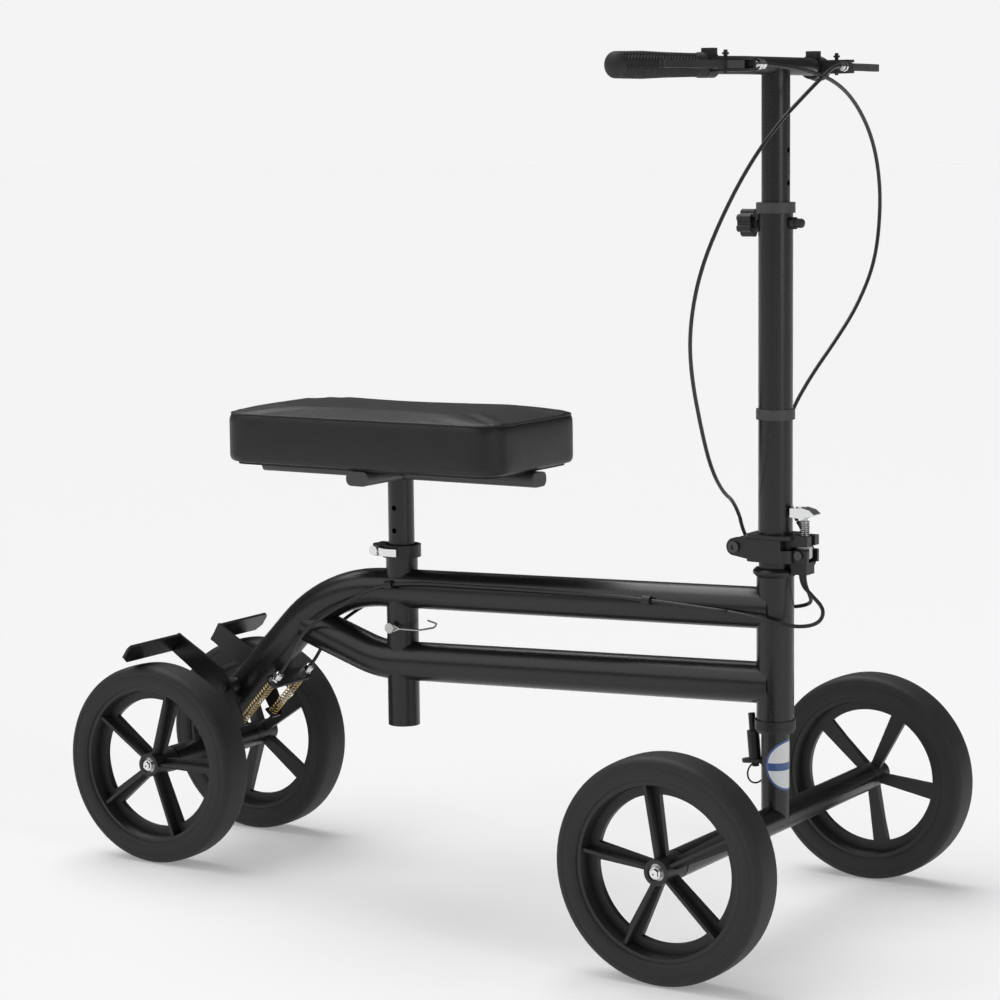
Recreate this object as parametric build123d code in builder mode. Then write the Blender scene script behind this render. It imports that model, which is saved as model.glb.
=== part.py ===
from build123d import *
from math import atan, cos, degrees, hypot, pi, radians, sin, tan
import os

# Knee scooter: a steered, folding walking aid on four wheels, ridden with one knee on the pad.
# Millimetres. X points forward, Y to the rider's left, Z up. The origin is on the ground,
# midway between the axles.

# Overall layout
wheelbase = 645.0
wheel_radius = 100.0
front_half_track = 208.0
rear_half_track = 84.4
handlebar_height = 778.5
seat_x = -82.5
pad_bottom_z = 406.5

# Clearances
running = 0.05
slip = 0.08
free_gap = 0.3
weld_gap = 0.0

# Tubes
main_tube_od = 38.0
main_tube_wall = 2.0
head_tube_od = 34.0
head_tube_wall = 2.6
fork_tube_od = 25.4
fork_tube_wall = 2.4
axle_tube_od = 25.4
axle_tube_wall = 2.4
sleeve_od = 31.0
stem_od = 25.4
stem_wall = 1.8
seat_tube_od = 31.0
seat_post_od = 25.4
seat_post_wall = 1.8
handlebar_od = 15.9
handlebar_wall = 1.6

# Frame heights
head_tube_bottom = 192.7
head_tube_top = 323.7
upper_tube_z = 294.0
upper_tube_fall = 12.4
lower_tube_z = 225.4
seat_tube_bottom = 148.0
seat_tube_top = 316.0

# Wheels
tyre_width = 37.0
tyre_seat_radius = 79.0
rim_wall = 4.0
flange_inner_radius = 65.0
rim_lip = 3.4
flange_half = 3.0
hub_radius = 11.5
hub_half = 17.0
spoke_count = 5
spoke_root_half = 4.6
spoke_tip_half = 7.6
rib_thickness = 3.0
bearing_outer_radius = 8.0
axle_bolt_radius = 4.0
wheel_phases = {"front_right": 28.0, "front_left": -8.0, "rear_right": 2.0, "rear_left": 37.0}

# Column
sleeve_top = 649.5
collar_height = 9.4
middle_collar_z = 465.8
knob_z = 640.5
height_up = 60.0
height_down = 60.0
stem_hole_z = (704.7, 675.8)

# Hinge
hinge_x_offset = -31.0
hinge_z = 350.8
hinge_lug_radius = 7.7
hinge_bolt_radius = 3.0
block_half_width = 20.5
cheek_thickness = 7.5
block_bottom = 338.3
block_floor = 349.8
block_top = 362.6

# Seat
pad_length = 322.0
pad_width = 167.0
pad_corner = 27.0
pad_height = 53.0
board_thickness = 6.0
cross_bar_width = 25.0
cross_bar_height = 14.0
long_bar_half = 155.0
wide_bar_half = 72.0
post_hole_z = (362.4, 340.3)
seat_pin_z = 246.4
seat_pin_radius = 3.2
slot_half_width = 5.4
seat_travel_up = 35.0
seat_travel_down = 12.0

# Brakes
brake_pivot_x = -598.0
brake_pivot_z = 172.0
brake_strip_width = 20.5
brake_strip_thickness = 3.0
brake_bar_tilt = 34.0
brake_arm_y = 33.5
brake_bar_length = 83.0
brake_corner_x = -661.0
brake_corner_z = 213.5
spring_y = 26.0
spring_radius = 4.6
spring_wire = 0.9

# Cables
housing_diameter = 3.5

steer_x = wheelbase / 2
rear_x = -wheelbase / 2
axle_z = wheel_radius
main_r = main_tube_od / 2
SIDES = {"right": -1, "left": 1}


def at_column(x, y, z):
    """A point given from the steering axis instead of from the origin."""
    return (steer_x + x, y, z)


def arc_radii(points):
    """Radius for each inner corner of a cord's route: 0.45 of the shorter run over tan(half turn)."""
    vectors = [Vector(*b) - Vector(*a) for a, b in zip(points, points[1:])]
    radii = []
    for before, after in zip(vectors, vectors[1:]):
        half_turn = radians(before.get_angle(after)) / 2
        radii.append(0.45 * min(before.length, after.length) / tan(half_turn))
    return radii


def route(points):
    """A cord's centre line: straight runs joined by tangent arcs."""
    radii = arc_radii(points)
    print("cord radii", [round(r, 1) for r in radii])
    return FilletPolyline(*points, radius=radii)


def along(points):
    """Plane at the first point of a route, looking along its first run."""
    start = Vector(*points[0])
    return Plane(origin=start, z_dir=Vector(*points[1]) - start)


def save(piece, label):
    piece.part.label = label
    export_step(piece.part, f"parts/{label}.step")


os.makedirs("parts", exist_ok=True)

# ---------------------------------------------------------------- frame
# Upper main tube: from the head tube back past the seat tube, then down to the rear axle tube.
upper_bend_x = -488.0
upper_bend_z = upper_tube_z + upper_bend_x * upper_tube_fall / 431.0
upper_path = [
    at_column(0, 0, upper_tube_z),
    at_column(upper_bend_x, 0, upper_bend_z),
    (rear_x, 0, axle_z + 16.0),
]
upper_bend_radius = 150.0
lower_path = [
    at_column(0, 0, lower_tube_z),
    at_column(-430.0, 0, 210.0),
    at_column(-516.0, 0, 238.6),
]
lower_bend_radius = 110.0

with BuildPart() as upper_core:
    with BuildLine() as upper_line:
        FilletPolyline(*upper_path, radius=upper_bend_radius)
    with BuildSketch(along(upper_path)):
        Circle(main_r)
    sweep(path=upper_line.line)

with BuildPart() as upper_main_tube:
    add(upper_core.part)
    with BuildSketch(along(upper_path)):
        Circle(main_r - main_tube_wall)
    sweep(path=upper_line.line, mode=Mode.SUBTRACT)
    with Locations(at_column(0, 0, upper_tube_z)):
        Cylinder(head_tube_od / 2 + weld_gap, 4 * main_tube_od, mode=Mode.SUBTRACT)
    with Locations((seat_x, 0, upper_tube_z)):
        Cylinder(seat_tube_od / 2 + weld_gap, 4 * main_tube_od, mode=Mode.SUBTRACT)
    with Locations(Location((rear_x, 0, axle_z), (90, 0, 0))):
        Cylinder(axle_tube_od / 2 + weld_gap, 4 * main_tube_od, mode=Mode.SUBTRACT)
save(upper_main_tube, "upper_main_tube")

with BuildPart() as lower_main_tube:
    with BuildLine() as lower_line:
        FilletPolyline(*lower_path, radius=lower_bend_radius)
    with BuildSketch(along(lower_path)):
        Circle(main_r)
        Circle(main_r - main_tube_wall, mode=Mode.SUBTRACT)
    sweep(path=lower_line.line)
    add(upper_core.part, mode=Mode.SUBTRACT)
    with Locations(at_column(0, 0, lower_tube_z)):
        Cylinder(head_tube_od / 2 + weld_gap, 4 * main_tube_od, mode=Mode.SUBTRACT)
    with Locations((seat_x, 0, lower_tube_z)):
        Cylinder(seat_tube_od / 2 + weld_gap, 4 * main_tube_od, mode=Mode.SUBTRACT)
save(lower_main_tube, "lower_main_tube")

with BuildPart() as head_tube:
    with BuildSketch(Plane.XY.offset(head_tube_bottom)):
        with Locations((steer_x, 0)):
            Circle(head_tube_od / 2)
            Circle(head_tube_od / 2 - head_tube_wall, mode=Mode.SUBTRACT)
    extrude(amount=head_tube_top - head_tube_bottom)
save(head_tube, "head_tube")

seat_bore = seat_post_od / 2 + slip
with BuildPart() as seat_tube:
    with BuildSketch(Plane.XY.offset(seat_tube_bottom)):
        with Locations((seat_x, 0)):
            Circle(seat_tube_od / 2)
            Circle(seat_bore, mode=Mode.SUBTRACT)
    extrude(amount=seat_tube_top - seat_tube_bottom)
    with Locations(Location((seat_x, 0, seat_pin_z), (90, 0, 0))):
        Cylinder(seat_pin_radius + slip, 2 * seat_tube_od, mode=Mode.SUBTRACT)
save(seat_tube, "seat_tube")

rear_tube_half = rear_half_track - hub_half - 1.2
with BuildPart() as rear_axle_tube:
    with Locations(Location((rear_x, 0, axle_z), (90, 0, 0))):
        Cylinder(axle_tube_od / 2, 2 * rear_tube_half)
        Cylinder(axle_bolt_radius, 2 * rear_tube_half + 2, mode=Mode.SUBTRACT)
        Cylinder(axle_tube_od / 2 - axle_tube_wall, 2 * (rear_tube_half - 22.0), mode=Mode.SUBTRACT)
save(rear_axle_tube, "rear_axle_tube")

# Headset: a pressed cup under the head tube and a flared one on top, each with a ball ring.
cup_depth = 12.0
top_cup_height = 7.8
cup_bore = fork_tube_od / 2 + 2.6
with BuildPart() as headset_cups:
    with BuildSketch(Plane.XZ) as cup_section:
        with BuildLine():
            Polyline(
                (steer_x + cup_bore, head_tube_bottom),
                (steer_x + 18.6, head_tube_bottom),
                (steer_x + 18.6, head_tube_bottom - 8.5),
                (steer_x + 16.6, head_tube_bottom - cup_depth),
                (steer_x + cup_bore, head_tube_bottom - cup_depth),
                close=True,
            )
        make_face()
        with BuildLine():
            Polyline(
                (steer_x + cup_bore, head_tube_top),
                (steer_x + 17.2, head_tube_top),
                (steer_x + 20.2, head_tube_top + 3.0),
                (steer_x + 20.2, head_tube_top + 5.4),
                (steer_x + 18.0, head_tube_top + top_cup_height),
                (steer_x + cup_bore, head_tube_top + top_cup_height),
                close=True,
            )
        make_face()
    revolve(axis=Axis(at_column(0, 0, 0), (0, 0, 1)))
    # Lock tab on the lower cup.
    with Locations(at_column(-18.0, 0, head_tube_bottom - 3.0)):
        Box(2.6, 8.0, 5.0)
save(headset_cups, "headset_cups")

with BuildPart() as headset_bearings:
    for ring_bottom in (head_tube_bottom - cup_depth + 2.5, head_tube_top + 1.5):
        with BuildSketch(Plane.XY.offset(ring_bottom)):
            with Locations((steer_x, 0)):
                Circle(cup_bore)
                Circle(fork_tube_od / 2 + running, mode=Mode.SUBTRACT)
        extrude(amount=5.0)
save(headset_bearings, "headset_bearings")

# ---------------------------------------------------------------- wheels
WHEELS = {
    "front_right": (steer_x, -front_half_track),
    "front_left": (steer_x, front_half_track),
    "rear_right": (rear_x, -rear_half_track),
    "rear_left": (rear_x, rear_half_track),
}
for name, (wheel_x, wheel_y) in WHEELS.items():
    side = 1 if wheel_y > 0 else -1
    centre = (wheel_x, wheel_y, axle_z)
    section_plane = Plane(origin=centre, x_dir=(0, 0, 1), z_dir=(-side, 0, 0))
    web_plane = Plane(origin=centre, x_dir=(1, 0, 0), z_dir=(0, side, 0))
    axle_line = Axis(centre, (0, side, 0))
    half = tyre_width / 2

    with BuildPart() as tyre:
        with BuildSketch(section_plane):
            with BuildLine():
                Polyline(
                    (wheel_radius - 7.0, half),
                    (tyre_seat_radius, half - 1.2),
                    (tyre_seat_radius, 1.2 - half),
                    (wheel_radius - 7.0, -half),
                )
                ThreePointArc(
                    (wheel_radius - 7.0, -half),
                    (wheel_radius - 1.8, 1.8 - half),
                    (wheel_radius - 0.4, 7.0 - half),
                )
                ThreePointArc((wheel_radius - 0.4, 7.0 - half), (wheel_radius, 0.0), (wheel_radius - 0.4, half - 7.0))
                ThreePointArc(
                    (wheel_radius - 0.4, half - 7.0),
                    (wheel_radius - 1.8, half - 1.8),
                    (wheel_radius - 7.0, half),
                )
            make_face()
        revolve(axis=axle_line)
    save(tyre, f"{name}_tyre")

    with BuildPart() as rim:
        with BuildSketch(section_plane):
            with BuildLine():
                Polyline(
                    (tyre_seat_radius, half - rim_lip),
                    (tyre_seat_radius - rim_wall, half - rim_lip),
                    (tyre_seat_radius - rim_wall - 1.5, flange_half),
                    (flange_inner_radius, flange_half),
                    (flange_inner_radius, -flange_half),
                    (tyre_seat_radius - rim_wall - 1.5, -flange_half),
                    (tyre_seat_radius - rim_wall, rim_lip - half),
                    (tyre_seat_radius, rim_lip - half),
                    close=True,
                )
            make_face()
            with BuildLine():
                Polyline(
                    (bearing_outer_radius, hub_half),
                    (hub_radius, hub_half),
                    (hub_radius + 1.0, -hub_half),
                    (bearing_outer_radius, -hub_half),
                    close=True,
                )
            make_face()
        revolve(axis=axle_line)
        with BuildSketch(web_plane):
            with PolarLocations(0, spoke_count, start_angle=side * -wheel_phases[name]):
                Polygon(
                    (hub_radius - 2.0, -spoke_root_half),
                    (flange_inner_radius + 2.0, -spoke_tip_half),
                    (flange_inner_radius + 2.0, spoke_tip_half),
                    (hub_radius - 2.0, spoke_root_half),
                    align=None,
                )
        extrude(amount=flange_half, both=True)
        with BuildSketch(web_plane):
            with PolarLocations(0, spoke_count, start_angle=side * -wheel_phases[name]):
                Polygon(
                    (hub_radius - 2.0, -rib_thickness / 2),
                    (tyre_seat_radius - 2.0, -rib_thickness / 2),
                    (tyre_seat_radius - 2.0, rib_thickness / 2),
                    (hub_radius - 2.0, rib_thickness / 2),
                    align=None,
                )
        extrude(amount=half - rim_lip - 2.1)
        with BuildSketch(section_plane):
            with Locations((bearing_outer_radius / 2, 0)):
                Rectangle(bearing_outer_radius, 4 * hub_half)
        revolve(axis=axle_line, mode=Mode.SUBTRACT)
    save(rim, f"{name}_rim")

# Bearing sleeves stay on the axle bolts, and the hubs turn on them.
for end, wheel_x, half_track in (("front", steer_x, front_half_track), ("rear", rear_x, rear_half_track)):
    with BuildPart() as bearings:
        for side in SIDES.values():
            for offset in (-10.5, 10.5):
                with Locations(Location((wheel_x, side * half_track + offset, axle_z), (90, 0, 0))):
                    Cylinder(bearing_outer_radius - running, 6.0)
                    Cylinder(axle_bolt_radius, 8.0, mode=Mode.SUBTRACT)
    save(bearings, f"{end}_wheel_bearings")
    with BuildPart() as bolts:
        for side in SIDES.values():
            inner = half_track - hub_half - 19.0
            outer = half_track + hub_half + 0.3
            middle = side * (inner + outer) / 2
            with Locations(Location((wheel_x, middle, axle_z), (90, 0, 0))):
                Cylinder(axle_bolt_radius, outer - inner + 0.4)
            with Locations(Location((wheel_x, side * (outer + 0.5), axle_z), (90, 0, 0))):
                Cylinder(5.2, 1.0)
            dome_plane = Plane(origin=(wheel_x, side * (outer + 0.8), axle_z), z_dir=(0, side, 0))
            with BuildSketch(dome_plane):
                RegularPolygon(4.5, 6)
            extrude(amount=2.4, taper=12)
            with BuildSketch(dome_plane.offset(2.4)):
                Circle(1.7)
            extrude(amount=-1.2, mode=Mode.SUBTRACT)
    save(bolts, f"{end}_axle_bolts")

# ---------------------------------------------------------------- fork and front axle
with BuildPart() as front_axle_tube:
    front_tube_half = front_half_track - hub_half - 1.2
    with Locations(Location(at_column(0, 0, axle_z), (90, 0, 0))):
        Cylinder(axle_tube_od / 2, 2 * front_tube_half)
        Cylinder(axle_bolt_radius, 2 * front_tube_half + 2, mode=Mode.SUBTRACT)
        Cylinder(axle_tube_od / 2 - axle_tube_wall, 2 * (front_tube_half - 22.0), mode=Mode.SUBTRACT)
save(front_axle_tube, "front_axle_tube")

neck_top = block_bottom
with BuildPart() as fork_tube:
    with BuildSketch(Plane.XY.offset(axle_z)):
        with Locations((steer_x, 0)):
            Circle(fork_tube_od / 2)
            Circle(fork_tube_od / 2 - fork_tube_wall, mode=Mode.SUBTRACT)
    extrude(amount=neck_top - axle_z)
    with Locations(Location(at_column(0, 0, axle_z), (90, 0, 0))):
        Cylinder(axle_tube_od / 2 + weld_gap, 4 * axle_tube_od, mode=Mode.SUBTRACT)
save(fork_tube, "fork_tube")

# ---------------------------------------------------------------- steering lock behind the fork
# A pull ring draws a sprung pin down out of reach of the tab under the head tube.
lock_x = -20.8
lock_tilt = 5.0
lock_axis_plane = Plane(
    origin=at_column(lock_x + 0.4, 0, 154.0),
    x_dir=(cos(radians(lock_tilt)), 0, sin(radians(lock_tilt))),
    z_dir=(-sin(radians(lock_tilt)), 0, cos(radians(lock_tilt))),
)
lock_pin_radius = 3.2
with BuildPart() as lock_sleeve:
    with BuildSketch(lock_axis_plane):
        Circle(5.6)
        Circle(lock_pin_radius + slip, mode=Mode.SUBTRACT)
    extrude(amount=26.0)
    with BuildSketch(lock_axis_plane.offset(-3.2)):
        SlotCenterToCenter(13.0, 12.5)
        Circle(lock_pin_radius + slip, mode=Mode.SUBTRACT)
    extrude(amount=3.2)
    with Locations(at_column(0, 0, 160.0)):
        Cylinder(fork_tube_od / 2 + weld_gap, 60.0, mode=Mode.SUBTRACT)
save(lock_sleeve, "lock_sleeve")

ring_radius = 9.5
ring_wire = 0.8
with BuildPart() as lock_pin:
    with BuildSketch(lock_axis_plane.offset(-7.0)):
        Circle(lock_pin_radius)
    extrude(amount=49.0)
    ring_centre = lock_axis_plane.from_local_coords(Vector(0, 0, -7.0 - ring_radius + 3.4))
    with Locations(Location(Plane(origin=ring_centre, z_dir=(-1, 0.55, 0)))):
        Torus(ring_radius, ring_wire)
save(lock_pin, "lock_pin")

# ---------------------------------------------------------------- hinge
hinge_x = steer_x + hinge_x_offset
cheek_inner = block_half_width - cheek_thickness
cheek_radius = hinge_lug_radius + 0.4
cheek_top = hinge_z + cheek_radius
latch_x = steer_x + 29.0
latch_bolt_z = 345.5

with BuildPart() as hinge_lower_block:
    with BuildSketch(Plane.XY.offset(block_bottom)):
        with Locations((steer_x + 1.0, 0)):
            RectangleRounded(46.0, 2 * block_half_width, 9.0)
    extrude(amount=block_floor - block_bottom)
    with BuildSketch(Plane.XY.offset(head_tube_top + top_cup_height + free_gap)):
        with Locations((steer_x, 0)):
            Circle(15.0)
            Circle(fork_tube_od / 2, mode=Mode.SUBTRACT)
    extrude(amount=block_bottom - head_tube_top - top_cup_height - free_gap)
    for side in SIDES.values():
        with BuildSketch(Plane.XZ.offset(-side * cheek_inner)):
            with BuildLine():
                Line((hinge_x, cheek_top), (steer_x + 15.0, cheek_top))
                Line((steer_x + 15.0, cheek_top), (steer_x + 15.0, block_bottom + 1.0))
                Line((steer_x + 15.0, block_bottom + 1.0), (steer_x - 10.0, block_bottom + 1.0))
                Line((steer_x - 10.0, block_bottom + 1.0), (hinge_x, hinge_z - cheek_radius))
                ThreePointArc(
                    (hinge_x, hinge_z - cheek_radius),
                    (hinge_x - cheek_radius, hinge_z),
                    (hinge_x, cheek_top),
                )
            make_face()
        extrude(amount=-side * cheek_thickness)
        # Two ears in front carry the latch's cross bolt.
        with BuildSketch(Plane.XZ.offset(-side * 8.6)):
            with BuildLine():
                Polyline(
                    (steer_x + 20.0, block_bottom),
                    (latch_x + 8.5, block_bottom),
                    (latch_x + 8.5, latch_bolt_z + 4.2),
                    (steer_x + 20.0, latch_bolt_z + 4.2),
                    close=True,
                )
            make_face()
        extrude(amount=-side * 3.4)
    # Notch for the latch's yoke.
    with Locations((latch_x, 0, latch_bolt_z + 5.0)):
        Box(17.6, 14.0, 20.0, mode=Mode.SUBTRACT)
    with Locations(Location((hinge_x, 0, hinge_z), (90, 0, 0))):
        Cylinder(hinge_bolt_radius, 3 * block_half_width, mode=Mode.SUBTRACT)
    with Locations(Location((latch_x, 0, latch_bolt_z), (90, 0, 0))):
        Cylinder(2.5, 3 * block_half_width, mode=Mode.SUBTRACT)
save(hinge_lower_block, "hinge_lower_block")

with BuildPart() as hinge_bolts:
    with Locations(Location((hinge_x, 0, hinge_z), (90, 0, 0))):
        Cylinder(hinge_bolt_radius, 2 * block_half_width)
    for side in SIDES.values():
        with BuildSketch(Plane(origin=(hinge_x, side * block_half_width, hinge_z), z_dir=(0, side, 0))):
            Circle(5.2)
        extrude(amount=2.6)
        with BuildSketch(Plane(origin=(hinge_x, side * (block_half_width + 2.6), hinge_z), z_dir=(0, side, 0))):
            RegularPolygon(2.6, 6)
        extrude(amount=-1.6, mode=Mode.SUBTRACT)
    with Locations(Location((latch_x, 0, latch_bolt_z), (90, 0, 0))):
        Cylinder(2.5, 24.0)
    for side in SIDES.values():
        with BuildSketch(Plane(origin=(latch_x, side * 12.0, latch_bolt_z), z_dir=(0, side, 0))):
            Circle(4.0)
        extrude(amount=2.0)
save(hinge_bolts, "hinge_bolts")

upper_half = cheek_inner - free_gap
with BuildPart() as hinge_upper_block:
    with BuildSketch(Plane.XZ.offset(-upper_half)):
        with BuildLine():
            Line((hinge_x, hinge_z + hinge_lug_radius), (steer_x + 20.0, hinge_z + hinge_lug_radius))
            Line((steer_x + 20.0, hinge_z + hinge_lug_radius), (steer_x + 20.0, block_floor + free_gap))
            Line((steer_x + 20.0, block_floor + free_gap), (hinge_x + 4.0, block_floor + free_gap))
            Line((hinge_x + 4.0, block_floor + free_gap), (hinge_x, hinge_z - hinge_lug_radius))
            ThreePointArc(
                (hinge_x, hinge_z - hinge_lug_radius),
                (hinge_x - hinge_lug_radius, hinge_z),
                (hinge_x, hinge_z + hinge_lug_radius),
            )
        make_face()
    extrude(amount=2 * upper_half)
    with BuildSketch(Plane.XY.offset(cheek_top + free_gap)):
        with Locations((steer_x + 0.5, 0)):
            RectangleRounded(46.0, 2 * block_half_width, 9.0)
    extrude(amount=block_top - cheek_top - free_gap)
    with Locations((steer_x, 0, cheek_top)):
        Box(38.0, 2 * upper_half - 1.0, 2.0)
    # Slotted tongue over the front ears, which the latch clamps.
    with BuildSketch(Plane.XY.offset(353.6)):
        with Locations(((steer_x + 19.0 + latch_x + 8.5) / 2, 0)):
            Rectangle(latch_x + 8.5 - steer_x - 19.0, 24.0)
        with Locations((latch_x + 6.0, 0)):
            Rectangle(25.6, 7.4, mode=Mode.SUBTRACT)
    extrude(amount=block_top - 353.6)
    with Locations(Location((hinge_x, 0, hinge_z), (90, 0, 0))):
        Cylinder(hinge_bolt_radius + running, 3 * block_half_width, mode=Mode.SUBTRACT)
save(hinge_upper_block, "hinge_upper_block")

# Latch: a hooked rod, its spring and the cam lever that pulls it tight.
rod_radius = 2.8
cam_z = 382.5
with BuildPart() as latch_rod:
    with Locations((latch_x, 0, (latch_bolt_z + 5.5 + cam_z) / 2)):
        Cylinder(rod_radius, cam_z - latch_bolt_z - 5.5)
    with BuildSketch(Plane.XZ.offset(-3.2)):
        with Locations((latch_x, latch_bolt_z + 2.0)):
            RectangleRounded(12.6, 13.0, 2.0)
        with Locations((latch_x, latch_bolt_z - 3.0)):
            Rectangle(8.2, 12.0, mode=Mode.SUBTRACT)
    extrude(amount=6.4)
save(latch_rod, "latch_rod")

latch_spring_bottom = block_top
latch_spring_turns = 6
latch_spring_height = 11.2
with BuildPart() as latch_spring:
    for turn in range(latch_spring_turns):
        turn_z = latch_spring_bottom + 0.8 + turn * latch_spring_height / (latch_spring_turns - 1)
        with BuildSketch(Plane(origin=(latch_x, 0, turn_z), x_dir=(1, 0, 0), z_dir=(0, -1, 0))):
            with Locations((4.2, 0)):
                Circle(0.8)
        revolve(axis=Axis((latch_x, 0, 0), (0, 0, 1)))
    with BuildSketch(Plane.XY.offset(latch_spring_bottom)):
        with Locations((latch_x, 0)):
            Circle(3.6)
            Circle(rod_radius + 0.1, mode=Mode.SUBTRACT)
    extrude(amount=latch_spring_height + 1.4)
save(latch_spring, "latch_spring")

with BuildPart() as latch_lever:
    with BuildSketch(Plane.XZ.offset(-7.0)):
        with Locations((latch_x, cam_z)):
            Circle(5.2)
        with BuildLine():
            Polyline(
                (latch_x - 11.4, cam_z + 4.4),
                (latch_x + 1.0, cam_z + 5.0),
                (latch_x + 8.0, cam_z + 3.4),
                (latch_x + 12.6, cam_z - 0.4),
                (latch_x + 12.0, cam_z - 1.8),
                (latch_x + 6.0, cam_z - 0.6),
                (latch_x + 1.0, cam_z - 4.6),
                (latch_x - 11.4, cam_z - 3.6),
                close=True,
            )
        make_face()
    extrude(amount=14.0)
    with Locations((latch_x, 0, cam_z - 3.0)):
        Box(8.0, 2 * rod_radius + 0.8, 14.0, mode=Mode.SUBTRACT)
    # The rear end is two thin cheeks, so that it swings down past the rod and the spring.
    with Locations((latch_x - 7.0, 0, cam_z + 2.0)):
        Box(14.0, 2 * rod_radius + 0.8, 14.0, mode=Mode.SUBTRACT)
    with Locations((latch_x - 9.4, 0, cam_z)):
        Box(10.0, 10.8, 20.0, mode=Mode.SUBTRACT)
save(latch_lever, "latch_lever")

guide_bottom = 327.6
lead_in_z = 333.6
with BuildPart() as cable_guide:
    with Locations(at_column(27.0, 0, (guide_bottom + block_bottom) / 2)):
        Box(16.0, 18.0, block_bottom - guide_bottom)
    chamfer(cable_guide.edges().filter_by(Axis.Z), 1.2)
    with BuildSketch(Plane.XY.offset(guide_bottom)):
        with Locations((steer_x + 27.0, 3.6), (steer_x + 27.0, -3.6)):
            Circle(housing_diameter / 2 + 0.2)
    extrude(amount=3.4, mode=Mode.SUBTRACT)
    for lead_x in (24.0, 30.0):
        with Locations(Location(at_column(lead_x, 8.0, lead_in_z), (90, 0, 0))):
            Cylinder(housing_diameter / 2 + 0.2, 10.0, mode=Mode.SUBTRACT)
    with Locations(at_column(0, 0, guide_bottom)):
        Cylinder(20.2 + 0.6, 2 * (head_tube_top + top_cup_height + 0.5 - guide_bottom), mode=Mode.SUBTRACT)
save(cable_guide, "cable_guide")

# ---------------------------------------------------------------- column
sleeve_bore = stem_od / 2 + slip
with BuildPart() as column_sleeve:
    with BuildSketch(Plane.XY.offset(block_top)):
        with Locations((steer_x, 0)):
            Circle(sleeve_od / 2)
            Circle(sleeve_bore, mode=Mode.SUBTRACT)
    extrude(amount=sleeve_top - block_top)
    with Locations(Location(at_column(0, 0, knob_z), (0, 90, 0))):
        Cylinder(3.0, 2 * sleeve_od, mode=Mode.SUBTRACT)
save(column_sleeve, "column_sleeve")

collar_thickness = 2.0
with BuildPart() as sleeve_collars:
    with BuildSketch(Plane.XY.offset(middle_collar_z)):
        with Locations((steer_x, 0)):
            Circle(sleeve_od / 2 + collar_thickness)
            Circle(sleeve_od / 2, mode=Mode.SUBTRACT)
    extrude(amount=collar_height)
    with BuildSketch(Plane.XY.offset(sleeve_top)):
        with Locations((steer_x, 0)):
            Circle(sleeve_od / 2 + collar_thickness)
            Circle(sleeve_bore, mode=Mode.SUBTRACT)
    extrude(amount=collar_height)
save(sleeve_collars, "sleeve_collars")

knob_radius = 12.4
knob_inner = -sleeve_od / 2 - 4.6
knob_thickness = 14.0
with BuildPart() as star_knob:
    with BuildSketch(Plane(origin=at_column(knob_inner, 0, knob_z), z_dir=(-1, 0, 0))):
        Circle(9.6)
        with PolarLocations(8.8, 6):
            Circle(3.6)
    extrude(amount=knob_thickness)
    chamfer(star_knob.faces().sort_by(Axis.X)[0].edges(), 1.0)
    with BuildSketch(Plane(origin=at_column(knob_inner, 0, knob_z), z_dir=(1, 0, 0))):
        Circle(5.0)
    extrude(amount=4.0)
    with BuildSketch(Plane(origin=at_column(knob_inner, 0, knob_z), z_dir=(1, 0, 0))):
        Circle(2.95)
    extrude(amount=-knob_inner - stem_od / 2 - free_gap)
save(star_knob, "star_knob")

with BuildPart() as clamp_cap:
    with BuildSketch(Plane(origin=at_column(stem_od / 2 + free_gap, 0, knob_z), z_dir=(1, 0, 0))):
        Circle(2.95)
    extrude(amount=6.0)
    cap_start = sleeve_od / 2 + 0.1
    with BuildSketch(Plane(origin=at_column(cap_start, 0, knob_z), z_dir=(1, 0, 0))):
        Circle(5.4)
    extrude(amount=4.4)
    with BuildSketch(Plane(origin=at_column(cap_start + 4.4, 0, knob_z), z_dir=(1, 0, 0))):
        Circle(4.2)
    extrude(amount=8.0)
    fillet(clamp_cap.faces().sort_by(Axis.X)[-1].edges(), 3.0)
save(clamp_cap, "clamp_cap")

stem_bottom = knob_z - 150.0
stem_top = handlebar_height
with BuildPart() as stem:
    with BuildSketch(Plane.XY.offset(stem_bottom)):
        with Locations((steer_x, 0)):
            Circle(stem_od / 2)
            Circle(stem_od / 2 - stem_wall, mode=Mode.SUBTRACT)
    extrude(amount=stem_top - stem_bottom)
    for hole_z in stem_hole_z:
        with Locations(Location(at_column(0, 0, hole_z), (0, 90, 0))):
            Cylinder(2.6, 2 * stem_od, mode=Mode.SUBTRACT)
    with Locations(Location(at_column(0, 0, handlebar_height), (90, 0, 0))):
        Cylinder(handlebar_od / 2 + weld_gap, 3 * stem_od, mode=Mode.SUBTRACT)
save(stem, "stem")

# ---------------------------------------------------------------- handlebar
bar_sweep = 22.0
bar_bend_y = 66.0
bar_bend_radius = 60.0
grip_length = 102.0
grip_start = 44.5
sweep_x = -sin(radians(bar_sweep))
sweep_y = cos(radians(bar_sweep))


def on_bar(distance, side):
    """A point on the swept part of the bar, that far out from its bend."""
    return Vector(steer_x + distance * sweep_x, side * (bar_bend_y + distance * sweep_y), handlebar_height)


bar_end = grip_start + grip_length - 6.0
bar_path = [on_bar(bar_end, 1), on_bar(0, 1), on_bar(0, -1), on_bar(bar_end, -1)]
with BuildPart() as handlebar:
    with BuildLine() as bar_line:
        FilletPolyline(*bar_path, radius=bar_bend_radius)
    with BuildSketch(Plane(origin=bar_path[0], z_dir=bar_path[1] - bar_path[0])):
        Circle(handlebar_od / 2)
        Circle(handlebar_od / 2 - handlebar_wall, mode=Mode.SUBTRACT)
    sweep(path=bar_line.line)
save(handlebar, "handlebar")

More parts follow.
